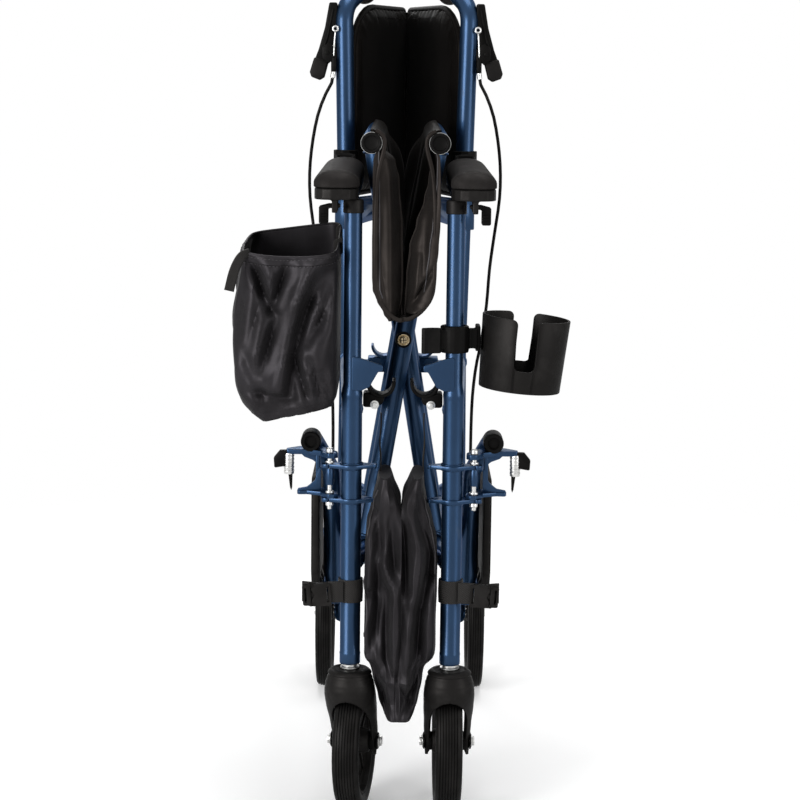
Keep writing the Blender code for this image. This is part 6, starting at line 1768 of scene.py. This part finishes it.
@dataclass
class Footrest(Assembly):
    """Swing-away hanger with its pin, latch and stored footplate."""

    body = "footrest_{}"
    hanger_x: float = 0.099
    hanger_z: float = 0.4176
    hanger_r: float = 0.0098

    def build(self) -> None:
        """Make the hanger and the parts on it."""
        x, z, r = self.hanger_x, self.hanger_z, self.hanger_r
        form = Form()
        elbow_x = 0.0787
        path = bent([(x, 0.0175, z), (x, 0.052, z), (elbow_x, 0.098, z - 0.046), (elbow_x, 0.158, 0.216)],
                    0.03)
        form.tube(path, r)
        px = PIN_X
        boss = [(px - 0.0087, -0.004), (px - 0.0042, -0.0085), (px + 0.0018, -0.009), (px + 0.0094, 0.0034),
                (px + 0.0097, 0.0068)]
        arm_y = 0.0155
        upper = boss + [(x + 0.001, arm_y), (x + 0.0265, arm_y), (x + 0.0265, arm_y + 0.0105),
                        (x + 0.013, arm_y + 0.024), (x - 0.011, arm_y + 0.024), (px - 0.0077, 0.008)]
        hole = [ring_of((px, 0), 0.0034)]
        form.slab(rounded(upper, 0.0022, 3), Facing.Z, 0.4035, 0.4085, 0.0009, holes=hole)
        lower = boss + [(x + 0.004, arm_y - 0.002), (x + 0.013, arm_y - 0.003), (x + 0.015, arm_y + 0.003),
                        (x + 0.007, arm_y + 0.012), (x - 0.011, arm_y + 0.02), (px - 0.0077, 0.008)]
        form.slab(rounded(lower, 0.0018, 3), Facing.Z, 0.3598, 0.3638, 0.0007, holes=hole)
        form.block((0.089, arm_y + 0.001, 0.3608), (0.0935, arm_y + 0.019, 0.4055), 0.0008)
        form.slab([(0.089, 0.4045), (x + 0.012, 0.4045), (x + 0.007, 0.3998), (x - 0.002, 0.3965),
                   (0.089, 0.39)], Facing.Y, arm_y + 0.004, arm_y + 0.008, 0.0007)
        wing = rounded([(x + 0.014, 0.362), (x + 0.0145, 0.3655), (x + 0.004, 0.3675), (x - 0.0045, 0.3745),
                        (x - 0.0085, 0.387), (0.0878, 0.39), (0.0878, 0.362)], 0.003, 4)
        form.slab(wing, Facing.Y, arm_y, arm_y + 0.004, 0.0008)
        form.block((elbow_x - 0.0085, 0.148, 0.204), (0.0945, 0.168, 0.228), 0.002)
        form.rod((0.0895, 0.128, 0.214), (0.0895, 0.188, 0.214), 0.0035, sides=20)
        form.rod((px, 0, 0.3735), (px, 0, 0.392), 0.0044, edge=0.0006)
        self.add(form, "hanger_tube_{}", Look.PAINT, "footrest_hanger_{}")
        plug = Form()
        plug.lathe([(0.0062, 0.001), (0.007, 0.0002), (0.0098, 0), (0.0108, 0.0008), (0.011, 0.002),
                    (0.0108, 0.03), (0.0102, 0.031), (0.0099, 0.0312), (0.0099, 0.0046), (0, 0.0046),
                    (0, 0.0042), (0.0062, 0.0042), (0.0062, 0.001)],
                   at(x, 0.0128, z, "X", -90))
        self.add(plug, "hanger_mouth_{}", Look.BLACK)
        pin = Form()
        top, under = 0.4088, 0.3552
        pin.lathe([(0, top + 0.005), (0.003, top + 0.005), (0.0038, top + 0.0042), (0.004, top + 0.003),
                   (0.004, top + 0.0004), (0.0036, top), (0.0026, top), (0.0026, under), (0.004, under),
                   (0.0043, under - 0.0005), (0.0043, under - 0.004), (0.0038, under - 0.0046),
                   (0.0026, under - 0.0046), (0.0026, under - 0.008), (0.002, under - 0.0086),
                   (0, under - 0.0086)], at(px), 36)
        for z0 in (0.3972, 0.3642):
            pin.rod((px, 0, z0), (px, 0, z0 + 0.0026), 0.0046, edge=0.0004)
        self.add(pin, "hinge_pin_{}", Look.ZINC, "footrest_pin_{}", body="{}_frame")
        self.latch()
        self.plate()

    def latch(self) -> None:
        """Bright knurled barrel with a black thumb block and a dark blade below."""
        body = "foot_latch_{}"
        x, y, top = 0.1228, 0.0205, 0.4045
        form = Form()
        form.rod((x, y, 0.381), (x, y, top), 0.0054, edge=0.0008)
        for step in range(5):
            z = 0.3835 + 0.0042 * step
            ring = [(0.005, z), (0.0058, z + 0.0004), (0.0058, z + 0.0018), (0.005, z + 0.0022), (0.005, z)]
            form.lathe(ring, at(x, y), 24)
        form.rod((x, y, top - 0.0004), (x, y, top + 0.0026), 0.0034, edge=0.0006)
        self.add(form, "latch_barrel_{}", Look.ZINC, "footrest_latch_{}", body=body)
        thumb = Form()
        side_on = rounded([(x + 0.0035, 0.39), (x + 0.0158, 0.388), (x + 0.0165, 0.399), (x + 0.01, 0.407),
                           (x - 0.004, 0.4074), (x - 0.004, 0.404), (x + 0.0035, 0.4036)], 0.0016, 4)
        thumb.slab(side_on, Facing.Y, y - 0.0046, y + 0.0046, 0.001)
        blade = [(x - 0.004, 0.3835), (x + 0.001, 0.3835), (x - 0.0012, 0.366), (x - 0.0026, 0.3628),
                 (x - 0.0036, 0.366)]
        thumb.slab(blade, Facing.Y, y - 0.0012, y + 0.0012, 0.0004)
        self.add(thumb, "latch_thumb_{}", Look.BLACK, body=body)

    def plate(self) -> None:
        """The footplate, stored on edge, with its ribs, lip and hinge lugs."""
        inner, outer = 0.0925, 0.1015
        low, top = 0.233, 0.362
        outline = rounded([(0.096, low + 0.02), (0.096, top), (0.236, top), (0.236, low), (0.116, low)],
                          0.014)
        form = Form()
        form.slab(outline, Facing.X, inner, outer - 0.0014, 0.0016, segments=3)
        lip = [Vector((outer - 0.0012, y, z)) for y, z in
               rounded([(0.0985, low + 0.021), (0.0985, top - 0.0025), (0.2335, top - 0.0025),
                        (0.2335, low + 0.0025), (0.117, low + 0.0025)], 0.012)]
        form.tube(lip, 0.0013, 10, loop=True)
        for step in range(6):
            z = low + 0.026 + 0.0165 * step
            form.block((outer - 0.0022, 0.11, z), (outer - 0.0001, 0.224, z + 0.0065), 0.0008)
        x, z = 0.0895, 0.214
        lug = rounded([(x + 0.0075, z - 0.002), (x + 0.004, z - 0.007), (x - 0.004, z - 0.007),
                       (x - 0.0072, z), (x - 0.004, z + 0.006), (inner + 0.001, low + 0.01),
                       (outer - 0.002, low + 0.01), (outer - 0.002, low - 0.002)], 0.0022)
        for y in (0.1337, 0.1683):
            form.slab(lug, Facing.Y, y, y + 0.014, 0.001, holes=[ring_of((x, z), 0.004)])
        self.add(form, "foot_tread_{}", Look.GREY, "footplate_{}", body="foot_plate_{}")


@dataclass
class Brake(Assembly):
    """Lever with its clamp, cable and shoe."""

    def cable_path(self) -> list[Vector]:
        """Smooth path of the cable, on the right side."""
        end_x, end_y = cable_stop()
        inner = [(CABLE_X, CABLE_Y, 0.9909), (0.0915, 0.3895, 0.9728), (0.0985, 0.3905, 0.9492),
                 (0.108, 0.396, 0.9038), (0.115, 0.404, 0.8403), (0.1185, 0.412, 0.7768),
                 (0.118, 0.417, 0.7132), (0.113, 0.42, 0.6407), (0.1075, 0.42, 0.559),
                 (0.1045, 0.42, 0.4773), (0.099, 0.42, 0.3956), (0.0925, 0.421, 0.3321),
                 (0.089, 0.424, 0.2686), (0.088, 0.43, 0.2051), (0.088, 0.437, 0.1325),
                 (0.0885, 0.444, 0.069)]
        route = [(a, b, CABLE_STOP_Z + 0.551 * share) for a, b, share in inner]
        return smooth_path([(CABLE_X, CABLE_Y, 0.813), *route, (end_x, end_y - 0.0032, 0.272),
                            (end_x, end_y, CABLE_STOP_Z)], 0.015)

    def cable(self) -> None:
        """Make the cable, which goes back into the frame at its stop, and its ferrules."""
        path = self.cable_path()
        form = Form()
        form.tube(path, 0.002, 16)
        made = self.add(form, "brake_line_{}", Look.RUBBER, "brake_cable_{}")
        placed = [Vector((p.x * self.side.value, p.y, p.z)) + SHIFT for p in path]
        round(path_length(placed), 4)
        ends = Form()
        for start, stop in ((path[0], path[1]), (path[-1], path[-2])):
            line = (stop - start).normalized()
            ends.tube([start + line * 0.0003, start + line * 0.008], 0.003, 16)
        ends.tube(smooth_path([(0.087, 0.388, 0.862), (0.0882, 0.3878, 0.848), (0.0889, 0.3885, 0.83),
                               (0.0888, 0.3893, 0.815)], 0.004), 0.001, 10)
        ends.bead((0.087, 0.3872, 0.864), (0, 1, 0), 0.003, 0.0011)
        self.add(ends, "brake_line_ends_{}", Look.ZINC)

    def lever(self) -> None:
        """The hand lever, with its worn lower end."""
        form = Form()
        blade = [(0.0852, 0.896), (0.095, 0.896), (0.1002, 0.866), (0.1075, 0.84), (0.1128, 0.826),
                 (0.095, 0.8215), (0.0885, 0.836), (0.0842, 0.864)]
        form.slab(rounded(blade, 0.0022, 4), Facing.Y, 0.396, 0.41, 0.0022, segments=3)
        form.tube([(0.0905, 0.3957, 0.888), (0.0965, 0.3957, 0.856), (0.1005, 0.3957, 0.843)], 0.0016, 10)
        form.tube(bent([(0.0922, 0.403, 0.882), (0.0922, 0.425, 0.889), (0.0895, 0.448, 0.889),
                        (0.086, 0.542, 0.885)], 0.02), 0.0045, 20)
        self.add(form, "lever_arm_{}", Look.BLACK, "brake_lever_{}", body="lever_{}")
        tip = Form()
        end = [(0.0955, 0.824), (0.113, 0.83), (0.1186, 0.8115), (0.1165, 0.8055), (0.106, 0.8015),
               (0.1005, 0.805)]
        tip.slab(rounded(end, 0.0026, 4), Facing.Y, 0.3945, 0.4115, 0.0024, segments=3)
        self.add(tip, "lever_tip_{}", Look.CHARCOAL, body="lever_{}")

    def clamp(self) -> None:
        """Slim band round the upright with the dark bracket that carries lever and cable stop."""
        z = 0.834
        x = upright_x(z)
        band, arm = Form(), Form()
        wall = ((0.0096, -0.008), (0.0106, -0.008), (0.0109, -0.0074), (0.0109, 0.0074), (0.0106, 0.008),
                (0.0096, 0.008), (0.0096, -0.008))
        band.lathe(wall, at(x, UPRIGHT_Y, z), 40)
        self.add(band, "brake_band_{}", Look.PAINT, "brake_housing_{}")
        outline = rounded([(x + 0.0095, z - 0.007), (x + 0.0095, z + 0.007), (x + 0.019, z + 0.014),
                           (x + 0.027, z + 0.008), (x + 0.027, z - 0.006), (x + 0.02, z - 0.011)], 0.0025, 4)
        arm.slab(outline, Facing.Y, 0.3875, 0.3902, 0.001)
        arm.rod((CABLE_X, CABLE_Y, 0.812), (CABLE_X, CABLE_Y, 0.829), 0.0034, sides=24, edge=0.0006)
        arm.slab(outline, Facing.Y, 0.4135, 0.4165, 0.001)
        arm.rod((x + 0.0215, 0.3858, z + 0.001), (x + 0.0215, 0.39, z + 0.001), 0.0026, sides=20, edge=0.0004)
        self.add(arm, "brake_arm_{}", Look.BLACK)

    def build(self) -> None:
        """Make the cable, the clamp with its bracket, the lever and the shoe."""
        self.cable()
        self.lever()
        self.clamp()
        moulded("brake_shoe_" + self.side.word, Look.CHARCOAL, 0.0008, 4)


@dataclass
class TieStrap(Assembly):
    """Webbing loop round the front leg, with its side-release buckle."""

    def build(self) -> None:
        """Make the loop, its tails and the buckle."""
        x = LEG_X
        form = Form()
        form.lathe([(0.0117, 0.2457), (0.0134, 0.2455), (0.0139, 0.258), (0.0134, 0.2705),
                    (0.0117, 0.2703), (0.0117, 0.2457)], at(x), 40)
        for start, end in (((0.0075, -0.0135), (0.024, -0.0165)), ((0.011, -0.01), (0.024, -0.013)),
                           ((0.04, -0.015), (0.052, -0.011))):
            a, b = Vector((*start, 0)), Vector((*end, 0))
            out = Vector((b.y - a.y, a.x - b.x, 0)).normalized() * 0.0009
            tail = [(x + p.x, p.y) for p in (a + out, b + out, b - out, a - out)]
            form.slab(tail, Facing.Z, 0.2468, 0.2692, 0.0004)
        self.add(form, "tie_loop_{}", Look.STRAP, "tie_strap_{}")
        buckle = Form()
        z, y = 0.258, -0.015
        housing = rounded([(x + 0.0205, z - 0.0125), (x + 0.04, z - 0.012), (x + 0.0418, z - 0.0062),
                           (x + 0.0384, z), (x + 0.0418, z + 0.0062), (x + 0.04, z + 0.012),
                           (x + 0.0205, z + 0.0125)], 0.0024, 4)
        window = rounded([(x + 0.0225, z - 0.0085), (x + 0.025, z - 0.0085), (x + 0.025, z + 0.0085),
                          (x + 0.0225, z + 0.0085)], 0.0008, 3)
        buckle.slab(housing, Facing.Y, y - 0.004, y + 0.0045, 0.0012, holes=[window])
        tail = rounded([(x + 0.0425, z - 0.0118), (x + 0.0515, z - 0.0112), (x + 0.0515, z + 0.0112),
                        (x + 0.0425, z + 0.0118)], 0.002, 4)
        gap = rounded([(x + 0.047, z - 0.008), (x + 0.0492, z - 0.008), (x + 0.0492, z + 0.008),
                       (x + 0.047, z + 0.008)], 0.0008, 3)
        buckle.slab(tail, Facing.Y, y - 0.003, y + 0.004, 0.001, holes=[gap])
        buckle.block((x + 0.0375, y - 0.0014, z - 0.003), (x + 0.044, y + 0.0022, z + 0.003), 0.0008)
        for way in (-1, 1):
            low, high = sorted((z + way * 0.0078, z + way * 0.0128))
            buckle.block((x + 0.036, y - 0.0026, low), (x + 0.045, y + 0.0034, high), 0.0012)
            for step in range(3):
                buckle.block((x + 0.0385 + 0.0018 * step, y - 0.0046, low + 0.0006),
                             (x + 0.0394 + 0.0018 * step, y - 0.002, high - 0.0006), 0.0003)
        buckle.turn(at(x, 0, z, "Y", 4) @ at(-x, 0, -z))
        self.add(buckle, "tie_buckle_{}", Look.CHARCOAL)


@dataclass
class Studio:
    """Floor, backdrop, lights and camera."""

    lens: float = 98.3
    pitch: float = 8.8
    roll: float = 0.0117
    eye: tuple[float, float, float] = (0.00075, -2.61146, 0.825)

    def camera(self) -> None:
        """Set the camera at the photograph's viewing angle."""
        data = bpy.data.cameras.new("camera")
        data.lens, data.sensor_width = self.lens, 36.0
        data.clip_start, data.clip_end = 0.05, 40.0
        made = bpy.data.objects.new("camera", data)
        bpy.context.scene.collection.objects.link(made)
        pitch = math.radians(self.pitch)
        sine, cosine = math.sin(pitch), math.cos(pitch)
        right = Vector((1, self.roll * sine, self.roll * cosine)).normalized()
        back = Vector((0, -cosine, sine))
        up = back.cross(right).normalized()
        turn = Matrix((right, up, back)).transposed().to_4x4()
        made.matrix_world = Matrix.Translation(self.eye) @ turn
        bpy.context.scene.camera = made

    def lamp(self, name: str, place: Point, size: float, power: float) -> None:
        """A soft square lamp aimed at the middle of the chair."""
        data = bpy.data.lights.new(name, "AREA")
        data.shape, data.size, data.energy = "SQUARE", size, power
        made = bpy.data.objects.new(name, data)
        aim = Vector((0, 0, 0.48)) - Vector(place)
        made.matrix_world = Matrix.Translation(place) @ aim.to_track_quat("-Z", "Y").to_matrix().to_4x4()
        bpy.context.scene.collection.objects.link(made)

    def world(self) -> None:
        """A dim room that shows as white where the camera or a reflection sees it."""
        room = bpy.data.worlds.new("room")
        bpy.context.scene.world = room
        shader = Shader(room)
        rays = shader.node("LightPath").outputs
        seen, glossy, through = (Signal(shader, rays[f"Is {kind} Ray"]) for kind in
                                 ("Camera", "Glossy", "Transmission"))
        shader.dress(Color=(1.0, 1.0, 1.0), Strength=(seen | (glossy | through)).span(0.0, 1.0, 0.3, 1.0))

    def floor(self) -> None:
        """A wide pale floor that keeps the chair's shadow."""
        part = bmesh.new()
        bmesh.ops.create_circle(part, cap_ends=True, segments=96, radius=1.6)
        data = bpy.data.meshes.new("floor")
        part.to_mesh(data)
        part.free()
        pale = bpy.data.materials.new("floor_pale")
        shader = Shader(pale)
        tone = shader.cloud(3.0, 2)
        x, y = shader.axis("X"), shader.axis("Y")
        far = (x * x + y * y) ** 0.5
        shader.dress(Base_Color=shader.blend((0.8, 0.8, 0.8), (0.82, 0.82, 0.82), tone), Roughness=0.9,
                     Specular_IOR_Level=0.1, Emission_Color=(1.0, 1.0, 1.0), Emission_Strength=0.3,
                     Alpha=far.span(0.75, 1.55, 1.0, 0.0))
        show("floor", data, pale)

    def build(self) -> None:
        """Set the room."""
        self.camera()
        self.lamp("key", (-1.9, -2.1, 0.95), 1.4, 70.0)
        self.lamp("fill", (2.3, -1.7, 0.9), 1.2, 20.0)
        self.lamp("top", (0.2, 0.1, 2.9), 1.6, 46.0)
        self.lamp("rear", (-0.6, 2.8, 1.8), 1.4, 20.0)
        self.world()
        self.floor()
        bpy.context.scene.view_settings.view_transform = "Standard"


def dress_leftovers() -> None:
    """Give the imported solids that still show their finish."""
    for node in frame["nodes"].values():
        for place in node.material_slots:
            found = [look for look in Look if place.material and look.slot in place.material.name]
            place.material = (found or [Look.BLACK])[0].material


def main() -> None:
    """Build the chair, piece by piece."""
    Studio().build()
    rear = at(0.099, AXLE_Y, AXLE_Z, "Y", 90)
    for side in Side:
        for kind in (Brake, SideFrame, HandGrip, FrontSaddle, SeatHalf, BackHalf, UnderSeatBag, Armrest,
                     Footrest, TieStrap):
            kind(side=side).build()
        Caster(-8.0 if side is Side.LEFT else -1.0, side=side).build()
        Wheel("rear", 0.1, 0.021, 0.084, 0.015, 0.0105, rear, 5, side=side).build()
    CrossBrace("a", Side.LEFT, 0.0).build()
    CrossBrace("b", Side.RIGHT, ARM_GAP).build()
    PivotBolt("pivot_bolt_front", ARM_FRONT_Y, 1).build()
    PivotBolt("pivot_bolt_rear", ARM_REAR_Y, -1).build()
    SideBag(side=Side.LEFT).build()
    CupHolder().build()
    dress_leftovers()
    LOG.info("all pieces made")


if __name__ == "__main__":
    main()
